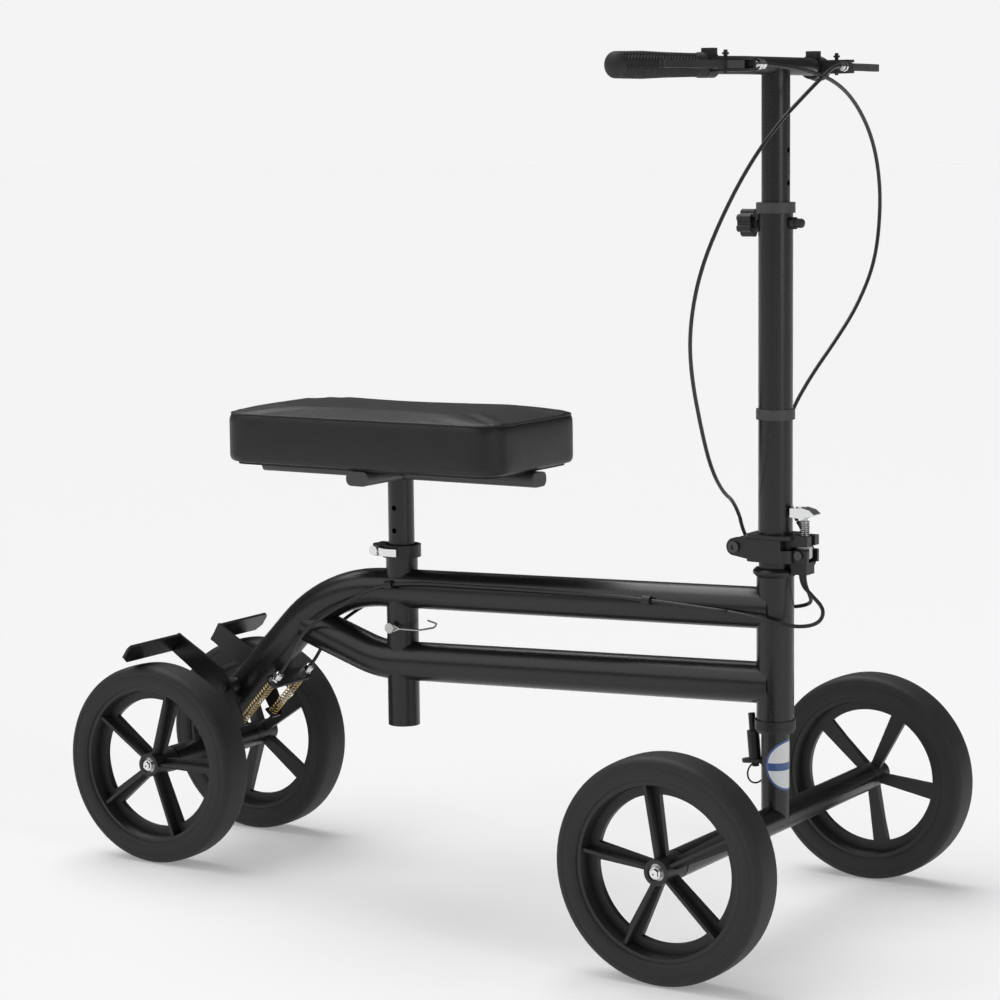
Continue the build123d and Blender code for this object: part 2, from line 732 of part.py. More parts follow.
with BuildPart() as grips:
    for side in SIDES.values():
        start = on_bar(grip_start, side)
        outward = (sweep_x, side * sweep_y, 0)
        with BuildSketch(Plane(origin=start, x_dir=(0, 0, 1), z_dir=(side * sweep_y, -sweep_x, 0))):
            with BuildLine():
                Polyline(
                    (0, grip_start - bar_end),
                    (handlebar_od / 2, grip_start - bar_end),
                    (handlebar_od / 2, 0),
                    (11.0, 0),
                    (11.0, -4.0),
                    (10.4, -8.0),
                    (10.8, -36.0),
                    (11.9, -64.0),
                    (11.5, -94.0),
                )
                ThreePointArc((11.5, -94.0), (9.2, -99.6), (4.0, -grip_length))
                Polyline((4.0, -grip_length), (0, -grip_length), (0, grip_start - bar_end))
            make_face()
        revolve(axis=Axis(start, outward))
save(grips, "grips")

# Brake levers: a clamp on the bar, a blade on an upright screw and a barrel adjuster.
clamp_at = 38.0
lever_pivot = (7.0, 109.0)
lever_tip = (0.5, 208.0)
adjuster_start = (24.0, 89.8)
adjuster_lean = 0.12
adjuster_length = 16.0
blade_half = 3.4
with BuildPart() as lever_brackets:
    for side in SIDES.values():
        clamp_centre = on_bar(clamp_at, side)
        with BuildSketch(Plane(origin=clamp_centre, z_dir=(sweep_x, side * sweep_y, 0))):
            Circle(11.0)
        extrude(amount=5.5, both=True)
        with Locations(clamp_centre + Vector(1.5, 0, 10.5)):
            Box(11.0, 9.0, 8.0)
        with BuildSketch(Plane.XY.offset(handlebar_height + blade_half + free_gap)):
            with BuildLine():
                Polyline(
                    (steer_x - 12.0, side * 96.0),
                    (steer_x + 26.0, side * 92.0),
                    (steer_x + 27.0, side * 104.0),
                    (steer_x + 10.0, side * 115.0),
                    (steer_x + 2.0, side * 114.0),
                    (steer_x - 12.0, side * 106.0),
                    close=True,
                )
            make_face()
        extrude(amount=2.4)
        with BuildSketch(Plane.XY.offset(handlebar_height - blade_half - free_gap)):
            with BuildLine():
                Polyline(
                    (steer_x - 12.0, side * 96.0),
                    (steer_x + 26.0, side * 92.0),
                    (steer_x + 27.0, side * 104.0),
                    (steer_x + 10.0, side * 115.0),
                    (steer_x + 2.0, side * 114.0),
                    (steer_x - 12.0, side * 106.0),
                    close=True,
                )
            make_face()
        extrude(amount=-2.4)
        # Web between the two plates, behind the blade, with the adjuster's boss.
        with BuildSketch(Plane.XY.offset(handlebar_height - blade_half - free_gap)):
            with BuildLine():
                Polyline(
                    (steer_x - 12.0, side * 96.0),
                    (steer_x + 27.0, side * 91.0),
                    (steer_x + 28.0, side * 96.0),
                    (steer_x - 6.0, side * 101.0),
                    close=True,
                )
            make_face()
        extrude(amount=2 * (blade_half + free_gap))
        with BuildSketch(Plane(origin=clamp_centre, z_dir=(sweep_x, side * sweep_y, 0))):
            Circle(handlebar_od / 2)
        extrude(amount=22.0, both=True, mode=Mode.SUBTRACT)
        with Locations((steer_x + lever_pivot[0], side * lever_pivot[1], handlebar_height + 2.5)):
            Cylinder(1.75, 20.0)
        with Locations((steer_x + lever_pivot[0], side * lever_pivot[1], handlebar_height + 9.4)):
            Cylinder(3.0, 1.8)
save(lever_brackets, "lever_brackets")

def adjuster_frame(side):
    """Plane where a lever's barrel adjuster starts, looking inboard along it."""
    start = (steer_x + adjuster_start[0], side * adjuster_start[1], handlebar_height)
    return Plane(origin=start, z_dir=(adjuster_lean, -side, 0))


with BuildPart() as lever_adjusters:
    for side in SIDES.values():
        adjuster_plane = adjuster_frame(side)
        with BuildSketch(adjuster_plane):
            Circle(3.0)
        extrude(amount=adjuster_length)
        with BuildSketch(adjuster_plane.offset(3.0)):
            Circle(5.0)
        extrude(amount=4.0)
        with BuildSketch(adjuster_plane.offset(9.0)):
            Circle(4.2)
        extrude(amount=5.0)
save(lever_adjusters, "lever_adjusters")

for name, side in SIDES.items():
    with BuildPart() as lever:
        with BuildSketch(Plane.XY.offset(handlebar_height - blade_half)):
            with BuildLine():
                Polyline(
                    (steer_x + 0.6, side * 108.0),
                    (steer_x + 0.8, side * 116.0),
                    (steer_x + 7.0, side * 135.0),
                    (steer_x + 5.5, side * 170.0),
                    (steer_x - 3.0, side * 206.0),
                )
                ThreePointArc(
                    (steer_x - 3.0, side * 206.0),
                    (steer_x + 0.6, side * 210.5),
                    (steer_x + 4.0, side * 207.0),
                )
                Polyline(
                    (steer_x + 4.0, side * 207.0),
                    (steer_x + 10.0, side * 172.0),
                    (steer_x + 13.0, side * 135.0),
                    (steer_x + 13.5, side * 118.0),
                    (steer_x + 24.0, side * 107.0),
                    (steer_x + 21.0, side * 102.0),
                    (steer_x + 8.0, side * 103.0),
                    (steer_x + 0.6, side * 108.0),
                )
            make_face()
            with Locations((steer_x + lever_pivot[0], side * lever_pivot[1])):
                Circle(1.75 + running, mode=Mode.SUBTRACT)
        extrude(amount=2 * blade_half)
    save(lever, f"{name}_lever")

# ---------------------------------------------------------------- seat
cross_bar_top = pad_bottom_z - 2.0
cross_bar_bottom = cross_bar_top - cross_bar_height
post_bottom = 170.0
with BuildPart() as seat_post:
    with BuildSketch(Plane.XY.offset(post_bottom)):
        with Locations((seat_x, 0)):
            Circle(seat_post_od / 2)
            Circle(seat_post_od / 2 - seat_post_wall, mode=Mode.SUBTRACT)
    extrude(amount=cross_bar_bottom - post_bottom)
    for hole_z in post_hole_z:
        with Locations(Location((seat_x, 0, hole_z), (90, 0, 0))):
            Cylinder(2.6, 2 * seat_tube_od, mode=Mode.SUBTRACT)
    # Open slot that lets the post slide past its locking pin.
    slot_top = seat_pin_z + seat_travel_down + slot_half_width + 2.0
    with BuildSketch(Plane.XZ.offset(-seat_post_od)):
        with Locations((seat_x, (slot_top + post_bottom - 2.0) / 2)):
            Rectangle(2 * slot_half_width, slot_top - post_bottom + 2.0)
    extrude(amount=2 * seat_post_od, mode=Mode.SUBTRACT)
save(seat_post, "seat_post")

with BuildPart() as seat_cross_bars:
    with BuildSketch(Plane(origin=(seat_x - long_bar_half, 0, 0), x_dir=(0, 1, 0), z_dir=(1, 0, 0))):
        with Locations((0, (cross_bar_top + cross_bar_bottom) / 2)):
            RectangleRounded(cross_bar_width, cross_bar_height, 6.0)
            RectangleRounded(cross_bar_width - 3.0, cross_bar_height - 3.0, 4.5, mode=Mode.SUBTRACT)
    extrude(amount=2 * long_bar_half)
    with BuildSketch(Plane(origin=(seat_x, wide_bar_half, 0), x_dir=(1, 0, 0), z_dir=(0, -1, 0))):
        with Locations((0, (cross_bar_top + cross_bar_bottom) / 2)):
            RectangleRounded(cross_bar_width, cross_bar_height, 6.0)
            RectangleRounded(cross_bar_width - 3.0, cross_bar_height - 3.0, 4.5, mode=Mode.SUBTRACT)
    extrude(amount=2 * wide_bar_half)
save(seat_cross_bars, "seat_cross_bars")

cap_thickness = 2.5
with BuildPart() as bar_end_caps:
    cap_z = (cross_bar_top + cross_bar_bottom) / 2
    for side in SIDES.values():
        with BuildSketch(Plane(origin=(seat_x + side * long_bar_half, 0, 0), x_dir=(0, 1, 0), z_dir=(1, 0, 0))):
            with Locations((0, cap_z)):
                RectangleRounded(cross_bar_width, cross_bar_height, 6.0)
        extrude(amount=side * cap_thickness)
        with BuildSketch(Plane(origin=(seat_x, side * wide_bar_half, 0), x_dir=(1, 0, 0), z_dir=(0, -1, 0))):
            with Locations((0, cap_z)):
                RectangleRounded(cross_bar_width, cross_bar_height, 6.0)
        extrude(amount=-side * cap_thickness)
save(bar_end_caps, "bar_end_caps")

board_margin = 12.0
board_bottom = cross_bar_top
with BuildPart() as seat_board:
    with BuildSketch(Plane.XY.offset(board_bottom)):
        with Locations((seat_x, 0)):
            RectangleRounded(
                pad_length - 2 * board_margin, pad_width - 2 * board_margin, pad_corner - board_margin
            )
    extrude(amount=board_thickness)
save(seat_board, "seat_board")

with BuildPart() as seat_pad:
    with BuildSketch(Plane.XY.offset(pad_bottom_z)):
        with Locations((seat_x, 0)):
            RectangleRounded(pad_length, pad_width, pad_corner)
    extrude(amount=pad_height)
    fillet(seat_pad.faces().sort_by(Axis.Z)[-1].edges(), 7.0)
    fillet(seat_pad.faces().sort_by(Axis.Z)[0].edges(), 3.0)
    with BuildSketch(Plane.XY.offset(pad_bottom_z - 1.0)):
        with Locations((seat_x, 0)):
            RectangleRounded(
                pad_length - 2 * board_margin + 0.6,
                pad_width - 2 * board_margin + 0.6,
                pad_corner - board_margin + free_gap,
            )
    extrude(amount=board_bottom + board_thickness + free_gap - pad_bottom_z + 1.0, mode=Mode.SUBTRACT)
save(seat_pad, "seat_pad")

# Split clamp on the seat tube with its quick-release lever.
clamp_bottom = seat_tube_top - 2.0
clamp_height = 12.0
clamp_outer = seat_tube_od / 2 + 3.4
clamp_lug_x = -22.6
clamp_lever_half = 3.6
with BuildPart() as seat_clamp_collar:
    with BuildSketch(Plane.XY.offset(clamp_bottom)):
        with Locations((seat_x, 0)):
            Circle(clamp_outer)
        with Locations((seat_x - 20.0, 0)):
            Rectangle(16.0, 17.0)
        with Locations((seat_x - 22.0, 0)):
            Rectangle(20.0, 3.0, mode=Mode.SUBTRACT)
        with Locations((seat_x, 0)):
            Circle(seat_tube_od / 2, mode=Mode.SUBTRACT)
    extrude(amount=clamp_height)
    with Locations(Location((seat_x + clamp_lug_x, 0, clamp_bottom + clamp_height / 2), (90, 0, 0))):
        Cylinder(2.5, 40.0, mode=Mode.SUBTRACT)
save(seat_clamp_collar, "seat_clamp_collar")

clamp_bolt_z = clamp_bottom + clamp_height / 2
with BuildPart() as seat_clamp_lever:
    with Locations(Location((seat_x + clamp_lug_x, 0, clamp_bolt_z), (90, 0, 0))):
        Cylinder(2.5 - running, 22.0)
    with Locations(Location((seat_x + clamp_lug_x, 11.0, clamp_bolt_z), (90, 0, 0))):
        Cylinder(5.0, 4.4)
    with Locations(Location((seat_x + clamp_lug_x, -12.8, clamp_bolt_z), (90, 0, 0))):
        Cylinder(4.6, 8.0)
    # The closed lever lies round the side of the collar.
    with BuildSketch(Plane.XY.offset(clamp_bolt_z - clamp_lever_half)):
        with BuildLine():
            lever_inner = CenterArc((seat_x, 0), clamp_outer + 1.7, 213.0, 77.0)
            lever_outer = CenterArc((seat_x, 0), clamp_outer + 4.7, 213.0, 77.0)
            Line(lever_inner @ 0, lever_outer @ 0)
            Line(lever_inner @ 1, lever_outer @ 1)
        make_face()
    extrude(amount=2 * clamp_lever_half)
save(seat_clamp_lever, "seat_clamp_lever")

# Locking pin through the seat tube, with the wire bail that snaps round the tube.
pin_half = seat_tube_od / 2 + 5.0
bail_x = 37.0
bail_wire = 0.9
with BuildPart() as seat_pin:
    with Locations(Location((seat_x, 0, seat_pin_z), (90, 0, 0))):
        Cylinder(seat_pin_radius, 2 * pin_half)
    with BuildSketch(Plane(origin=(seat_x, -pin_half, seat_pin_z), z_dir=(0, -1, 0))):
        Circle(5.0)
    extrude(amount=4.0)
    bail_y = -pin_half - 2.0
    with BuildLine() as bail_line:
        FilletPolyline(
            (seat_x + 10.0, bail_y, seat_pin_z),
            (seat_x + 29.0, bail_y + 7.0, seat_pin_z - 1.0),
            (seat_x + bail_x, 0.0, seat_pin_z),
            (seat_x + 31.0, 13.0, seat_pin_z + 1.5),
            (seat_x + 18.4, 16.5, seat_pin_z + 3.0),
            radius=[8.0, 6.0, 6.0],
        )
    with BuildSketch(Plane(origin=bail_line.line @ 0, z_dir=bail_line.line % 0)):
        Circle(bail_wire)
    sweep(path=bail_line.line)
    for leg in (-1, 1):
        leg_start = Vector(seat_x, bail_y, seat_pin_z + leg * 4.4)
        leg_end = Vector(seat_x + 11.0, bail_y, seat_pin_z)
        with BuildSketch(Plane(origin=leg_start, z_dir=leg_end - leg_start)):
            Circle(bail_wire)
        extrude(amount=(leg_end - leg_start).length)
save(seat_pin, "seat_pin")

# ---------------------------------------------------------------- rear brakes
pivot_x = steer_x + brake_pivot_x
arm_x = steer_x + brake_corner_x
bracket_half = brake_arm_y - brake_strip_thickness / 2 - free_gap
down_slope = atan((upper_path[1][2] - upper_path[2][2]) / (upper_path[1][0] - upper_path[2][0]))
down_direction = Vector(cos(down_slope), 0, sin(down_slope))
down_normal = Vector(sin(down_slope), 0, -cos(down_slope))
adjuster_at = (steer_x - 540.0, 186.0)
spring_top = (steer_x - 547.0, 178.0)
spring_bottom = (steer_x - 581.0, 141.0)
spring_angle = atan((spring_top[1] - spring_bottom[1]) / (spring_top[0] - spring_bottom[0]))
spring_direction = Vector(cos(spring_angle), 0, sin(spring_angle))

with BuildPart() as brake_bracket:
    with Locations(Location((pivot_x, 0, brake_pivot_z), (90, 0, 0))):
        Cylinder(7.5, 2 * bracket_half)
        Cylinder(3.0, 4 * bracket_half, mode=Mode.SUBTRACT)
    plate_plane = Plane(
        origin=(spring_top[0] + 2.0, 0, spring_top[1] + 2.2),
        x_dir=(0, 1, 0),
        z_dir=spring_direction,
    )
    with BuildSketch(plate_plane):
        SlotCenterToCenter(2 * spring_y, 15.0)
        with Locations((-spring_y, 0), (spring_y, 0)):
            Circle(3.0, mode=Mode.SUBTRACT)
    extrude(amount=3.0)
    with BuildSketch(plate_plane):
        with Locations((0, 10.0)):
            Rectangle(20.0, 20.0)
    extrude(amount=3.0)
    add(upper_core.part, mode=Mode.SUBTRACT)
save(brake_bracket, "brake_bracket")

with BuildPart() as brake_pivot_bolts:
    for side in SIDES.values():
        start_y = side * (main_r + 0.8)
        with BuildSketch(Plane(origin=(pivot_x, start_y, brake_pivot_z), z_dir=(0, side, 0))):
            Circle(3.0)
        extrude(amount=bracket_half - main_r + brake_strip_thickness + 2 * free_gap - 0.2)
        head_y = side * (brake_arm_y + brake_strip_thickness / 2 + free_gap)
        with BuildSketch(Plane(origin=(pivot_x, head_y, brake_pivot_z), z_dir=(0, side, 0))):
            RegularPolygon(5.4, 6)
        extrude(amount=4.0)
save(brake_pivot_bolts, "brake_pivot_bolts")

# Each arm is a bell crank: a lug that the cable pulls, and a strip bent out over the tyre.
strip_rise = atan((brake_corner_z - brake_pivot_z - 14.0) / (pivot_x - 14.0 - arm_x))
for name, side in SIDES.items():
    inner_face = side * (brake_arm_y - brake_strip_thickness / 2)
    with BuildPart() as brake_arm:
        with BuildSketch(Plane.XZ.offset(-inner_face)):
            with BuildLine():
                Polyline(
                    (pivot_x + 8.0, brake_pivot_z + 2.0),
                    (pivot_x - 4.0, brake_pivot_z + 19.5),
                    (arm_x - 1.0 + 6.0, brake_corner_z + 9.0),
                    (arm_x - 1.0 - 4.0, brake_corner_z - 8.5),
                    (pivot_x - 12.0, brake_pivot_z - 4.0),
                    (spring_bottom[0] - 7.0, spring_bottom[1] - 8.0),
                    (spring_bottom[0] + 5.0, spring_bottom[1] - 7.0),
                    (spring_bottom[0] + 3.0, spring_bottom[1] + 4.0),
                    close=True,
                )
            make_face()
            with Locations((pivot_x, brake_pivot_z)):
                Circle(3.0 + running, mode=Mode.SUBTRACT)
        extrude(amount=-side * brake_strip_thickness)
        bar_plane = Plane(
            origin=(arm_x, inner_face, brake_corner_z),
            x_dir=(0, side, 0),
            z_dir=Vector(-cos(radians(brake_bar_tilt)), 0, sin(radians(brake_bar_tilt))) * side,
        )
        half_width = brake_strip_width / 2
        with BuildSketch(bar_plane):
            with BuildLine():
                Polyline(
                    (0, -half_width),
                    (0, half_width),
                    (brake_bar_length - 8.0, half_width),
                    (brake_bar_length, half_width - 6.0),
                    (brake_bar_length, -half_width + 4.0),
                    (brake_bar_length - 3.0, -half_width),
                    close=True,
                )
            make_face()
        extrude(amount=-side * brake_strip_thickness)
        # Turned-in tab that the return spring pushes on.
        tab_plane = Plane(
            origin=(spring_bottom[0] - 2.4, 0, spring_bottom[1] - 2.6),
            x_dir=(0, 1, 0),
            z_dir=spring_direction,
        )
        tab_inner = spring_y - 6.0
        tab_outer = brake_arm_y
        with BuildSketch(tab_plane):
            with Locations((side * (tab_inner + tab_outer) / 2, 0)):
                Rectangle(tab_outer - tab_inner, 12.0)
            with Locations((side * spring_y, 0)):
                Circle(1.4, mode=Mode.SUBTRACT)
        extrude(amount=-2.5)
    save(brake_arm, f"{name}_brake_arm")

    spring_plane = Plane(
        origin=(spring_bottom[0] - 2.4, side * spring_y, spring_bottom[1] - 2.6),
        x_dir=(0, 1, 0),
        z_dir=spring_direction,
    )
    spring_length = hypot(spring_top[0] + 4.4 - spring_bottom[0], spring_top[1] + 4.8 - spring_bottom[1])
    with BuildPart() as brake_spring:
        with BuildSketch(spring_plane.offset(0.1)):
            Circle(spring_radius)
            Circle(spring_radius - 2 * spring_wire, mode=Mode.SUBTRACT)
        extrude(amount=spring_length - 0.4)
    save(brake_spring, f"{name}_brake_spring")

with BuildPart() as rear_cable_adjusters:
    for side in SIDES.values():
        adjuster_plane = Plane(
            origin=plate_plane.from_local_coords(Vector(side * spring_y, 0, 0)),
            x_dir=(0, 1, 0),
            z_dir=spring_direction,
        )
        with BuildSketch(adjuster_plane):
            Circle(3.0)
        extrude(amount=15.0)
        with BuildSketch(adjuster_plane.offset(3.0)):
            RegularPolygon(5.0, 6)
        extrude(amount=3.4)
        with BuildSketch(adjuster_plane.offset(8.0)):
            Circle(4.6)
        extrude(amount=5.6)
        # Inner wire from the adjuster through the spring to the arm's tab.
        with BuildSketch(adjuster_plane):
            Circle(0.9)
        extrude(amount=8.0 - spring_length)
save(rear_cable_adjusters, "rear_cable_adjusters")

# ---------------------------------------------------------------- brake cables
# Housings from the lever adjusters, crossing in front of the column, to the guide's lead-ins.
lower_end_z = 371.5


def adjuster_run(side):
    """The first two points of a housing: out of its adjuster's mouth."""
    mouth = adjuster_frame(side)
    near = mouth.from_local_coords(Vector(0, 0, adjuster_length + 0.1))
    far = mouth.from_local_coords(Vector(0, 0, adjuster_length + 28.0))
    return [(near.X, near.Y, near.Z), (far.X, far.Y, far.Z)]


upper_right_route = [
    *adjuster_run(-1),
    at_column(35.0, -10.0, 774.0),
    at_column(40.0, 30.0, 766.5),
    at_column(38.0, 76.0, 751.0),
    at_column(34.0, 121.0, 723.0),
    at_column(30.0, 150.0, 690.0),
    at_column(27.0, 163.0, 650.0),
    at_column(25.0, 156.0, 600.0),
    at_column(20.0, 128.0, 560.0),
    at_column(15.0, 92.0, 530.0),
    at_column(7.0, 57.0, 500.0),
    at_column(-3.0, 33.0, 466.0),
    at_column(-8.0, 24.0, 424.0),
    at_column(-2.0, 25.5, 394.0),
    at_column(8.0, 27.5, lower_end_z),
]
upper_left_route = [
    *adjuster_run(1),
    at_column(40.0, 8.0, 767.0),
    at_column(44.0, -35.0, 751.0),
    at_column(41.0, -80.0, 727.0),
    at_column(32.0, -117.0, 692.0),
    at_column(20.0, -144.0, 648.0),
    at_column(8.0, -159.0, 604.0),
    at_column(-2.0, -158.0, 558.0),
    at_column(-10.0, -141.0, 517.0),
    at_column(-20.0, -104.0, 466.0),
    at_column(-33.0, -62.0, 427.0),
    at_column(-45.0, -16.0, 399.0),
    at_column(-52.0, 20.0, 386.0),
    at_column(-51.0, 28.5, lower_end_z),
]
UPPER_ROUTES = {"right": upper_right_route, "left": upper_left_route}

with BuildPart() as upper_brake_cables:
    for points in UPPER_ROUTES.values():
        with BuildLine() as cable_line:
            route(points)
        with BuildSketch(along(points)):
            Circle(housing_diameter / 2)
        sweep(path=cable_line.line)
save(upper_brake_cables, "upper_brake_cables")

# From under the guide in a loop to the head tube's side, free to flex as the bars are turned.
loop_end_x = -36.0
loop_right_route = [
    at_column(27.0, -3.6, guide_bottom + 2.8),
    at_column(27.0, -3.6, 319.0),
    at_column(39.0, -5.0, 309.5),
    at_column(53.0, -8.0, 298.0),
    at_column(50.0, -12.5, 286.0),
    at_column(33.0, -18.5, 282.0),
    at_column(10.0, -24.0, 285.5),
    at_column(-12.0, -24.5, 289.5),
    at_column(loop_end_x, -23.5, 291.5),
]
loop_left_route = [
    at_column(27.0, 3.6, guide_bottom + 2.8),
    at_column(27.0, 4.4, 318.0),
    at_column(29.0, 11.0, 307.0),
    at_column(26.0, 21.0, 298.0),
    at_column(12.0, 25.0, 293.0),
    at_column(-10.0, 24.8, 291.0),
    at_column(loop_end_x, 23.5, 291.5),
]
# Lead-ins carry on from the housings' lower ends, past the hinge and into the guide's side.
lead_right_route = [
    at_column(8.5, 27.6, lower_end_z - 1.0),
    at_column(15.5, 29.8, 358.5),
    at_column(22.0, 31.0, 347.0),
    at_column(27.0, 25.0, 336.5),
    at_column(30.0, 15.0, lead_in_z),
    at_column(30.0, 5.0, lead_in_z),
]
lead_left_route = [
    at_column(-50.7, 28.8, lower_end_z - 1.0),
    at_column(-49.0, 31.0, 357.0),
    at_column(-38.0, 32.0, 342.0),
    at_column(-20.0, 32.5, 336.0),
    at_column(2.0, 32.5, 334.5),
    at_column(20.0, 26.0, 334.0),
    at_column(24.0, 15.0, lead_in_z),
    at_column(24.0, 5.0, lead_in_z),
]
LOOP_ROUTES = {
    "right": loop_right_route,
    "left": loop_left_route,
    "lead_right": lead_right_route,
    "lead_left": lead_left_route,
}
with BuildPart() as steering_cable_loops:
    for points in LOOP_ROUTES.values():
        with BuildLine() as cable_line:
            route(points)
        with BuildSketch(along(points)):
            Circle(housing_diameter / 2)
        sweep(path=cable_line.line)
save(steering_cable_loops, "steering_cable_loops")

adjuster_mouth = plate_plane.from_local_coords(Vector(spring_y, 0, 15.1))
adjuster_rise = plate_plane.from_local_coords(Vector(spring_y, 0, 26.1))
frame_right_route = [
    at_column(loop_end_x - 0.8, -23.5, 291.6),
    at_column(-90.0, -22.6, 294.5),
    at_column(-150.0, -22.0, 296.5),
    at_column(-210.0, -21.8, 295.8),
    at_column(-270.0, -21.8, 295.0),
    at_column(-330.0, -21.8, 293.6),
    at_column(-385.0, -22.2, 292.4),
    at_column(-425.0, -22.8, 285.0),
    at_column(-455.0, -22.8, 268.0),
    at_column(-485.0, -23.5, 251.0),
    at_column(-512.0, -25.5, 230.0),
    (adjuster_rise.X, -spring_y, adjuster_rise.Z),
    (adjuster_mouth.X, -spring_y, adjuster_mouth.Z),
]
frame_left_route = [
    at_column(loop_end_x - 0.8, 23.5, 291.5),
    at_column(-90.0, 22.4, 292.5),
    at_column(-150.0, 22.0, 291.0),
    at_column(-210.0, 21.8, 291.5),
    at_column(-270.0, 21.8, 290.0),
    at_column(-330.0, 21.8, 289.6),
    at_column(-385.0, 22.2, 287.0),
    at_column(-425.0, 22.8, 280.0),
    at_column(-455.0, 22.8, 264.0),
    at_column(-485.0, 23.5, 246.0),
    at_column(-512.0, 25.5, 226.0),
    (adjuster_rise.X, spring_y, adjuster_rise.Z),
    (adjuster_mouth.X, spring_y, adjuster_mouth.Z),
]
FRAME_ROUTES = {"right": frame_right_route, "left": frame_left_route}
with BuildPart() as frame_brake_cables:
    for points in FRAME_ROUTES.values():
        with BuildLine() as cable_line:
            route(points)
        with BuildSketch(along(points)):
            Circle(housing_diameter / 2)
        sweep(path=cable_line.line)
save(frame_brake_cables, "frame_brake_cables")

# Clips hold the housings against the upper tube.
with BuildPart() as cable_clips:
    for side, points in ((-1, frame_right_route), (1, frame_left_route)):
        for index in (1, 6):
            before = Vector(*points[index])
            after = Vector(*points[index + 1])
            clip_plane = Plane(origin=(before + after) / 2, z_dir=after - before)
            with BuildSketch(clip_plane):
                Circle(housing_diameter / 2 + 2.6)
                Circle(housing_diameter / 2 + 0.4, mode=Mode.SUBTRACT)
            extrude(amount=4.0, both=True)
    add(upper_core.part, mode=Mode.SUBTRACT)
save(cable_clips, "cable_clips")
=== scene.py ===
from math import cos, pi, radians, sin

import bpy
import numpy as np
from mathutils import Matrix, Vector
from mathutils.bvhtree import BVHTree


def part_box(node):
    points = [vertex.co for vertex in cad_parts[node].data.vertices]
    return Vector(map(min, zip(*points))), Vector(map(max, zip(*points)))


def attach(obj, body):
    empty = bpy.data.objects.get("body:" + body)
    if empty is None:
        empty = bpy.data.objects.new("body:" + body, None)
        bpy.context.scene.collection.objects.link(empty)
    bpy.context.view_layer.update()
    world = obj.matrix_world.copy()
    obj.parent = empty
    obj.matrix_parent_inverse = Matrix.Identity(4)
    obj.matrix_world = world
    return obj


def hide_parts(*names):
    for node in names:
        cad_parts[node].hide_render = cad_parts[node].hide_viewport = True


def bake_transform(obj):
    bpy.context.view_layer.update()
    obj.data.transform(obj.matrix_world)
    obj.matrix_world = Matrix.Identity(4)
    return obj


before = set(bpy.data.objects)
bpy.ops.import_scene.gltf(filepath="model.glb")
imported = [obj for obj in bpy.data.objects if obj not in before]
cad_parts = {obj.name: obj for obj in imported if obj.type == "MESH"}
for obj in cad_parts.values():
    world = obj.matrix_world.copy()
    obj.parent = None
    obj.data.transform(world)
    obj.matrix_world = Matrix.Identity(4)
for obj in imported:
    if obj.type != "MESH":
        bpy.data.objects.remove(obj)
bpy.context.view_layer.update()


# ---- Finishes --------------------------------------------------------------------------------
# Every material is a Principled shader with procedural nodes added through these two classes.

class Value:
    """A node socket that takes arithmetic: each operator adds one Math node to its material."""

    def __init__(self, finish, socket):
        self.finish = finish
        self.socket = socket

    def _with(self, operation, first, second):
        return self.finish.node("ShaderNodeMath", {"operation": operation}, {0: first, 1: second})

    def __add__(self, other):
        return self._with("ADD", self, other)

    def __radd__(self, other):
        return self._with("ADD", other, self)

    def __sub__(self, other):
        return self._with("SUBTRACT", self, other)

    def __rsub__(self, other):
        return self._with("SUBTRACT", other, self)

    def __mul__(self, other):
        return self._with("MULTIPLY", self, other)

    def __rmul__(self, other):
        return self._with("MULTIPLY", other, self)


class Finish:
    """A material being made: its Principled shader, and one method that adds any other node."""

    def __init__(self, name, sockets):
        self.material = bpy.data.materials.new(name)
        self.material.use_nodes = True
        self.tree = self.material.node_tree
        self.shader = self.tree.nodes["Principled BSDF"]
        for socket, value in sockets.items():
            self.shader.inputs[socket].default_value = value
        self.place = self.node("ShaderNodeTexCoord", {}, {}, "Object")

    def node(self, kind, settings, inputs, output=0):
        """Adds a node: its settings first, then the value or link of each socket."""
        made = self.tree.nodes.new(kind)
        stops = settings.pop("stops", None)
        for key, value in settings.items():
            setattr(made, key, value)
        if stops:
            for element, (position, grey) in zip(made.color_ramp.elements, stops):
                element.position = position
                element.color = (grey, grey, grey, 1.0)
        for key, value in inputs.items():
            if isinstance(value, Value):
                self.tree.links.new(value.socket, made.inputs[key])
            else:
                made.inputs[key].default_value = value
        return Value(self, made.outputs[output])

    def noise(self, size, detail=2.0, place=None):
        """Cloudy values about 0.5 whose features are that many metres across."""
        settings = {"Scale": 1.0 / size, "Detail": detail, "Vector": place or self.place}
        return self.node("ShaderNodeTexNoise", {}, settings, "Fac")

    def between(self, value, low, high):
        """0 below low, 1 above high, straight in between."""
        limits = {"From Min": low, "From Max": high, "Value": value}
        return self.node("ShaderNodeMapRange", {"clamp": True}, limits)

    def feed(self, socket, value):
        self.tree.links.new(value.socket, self.shader.inputs[socket])

    def tint(self, mask, first, second):
        """Base colour from first to second as the mask goes from 0 to 1."""
        blend = {"data_type": "RGBA"}
        mixed = self.node("ShaderNodeMix", blend, {0: mask, 6: (*first, 1.0), 7: (*second, 1.0)}, 2)
        self.feed("Base Color", mixed)

    def bump(self, height, depth):
        """Surface relief: a height from 0 to 1, that many metres deep."""
        relief = {"Height": height, "Distance": depth, "Strength": 1.0}
        self.feed("Normal", self.node("ShaderNodeBump", {}, relief, "Normal"))


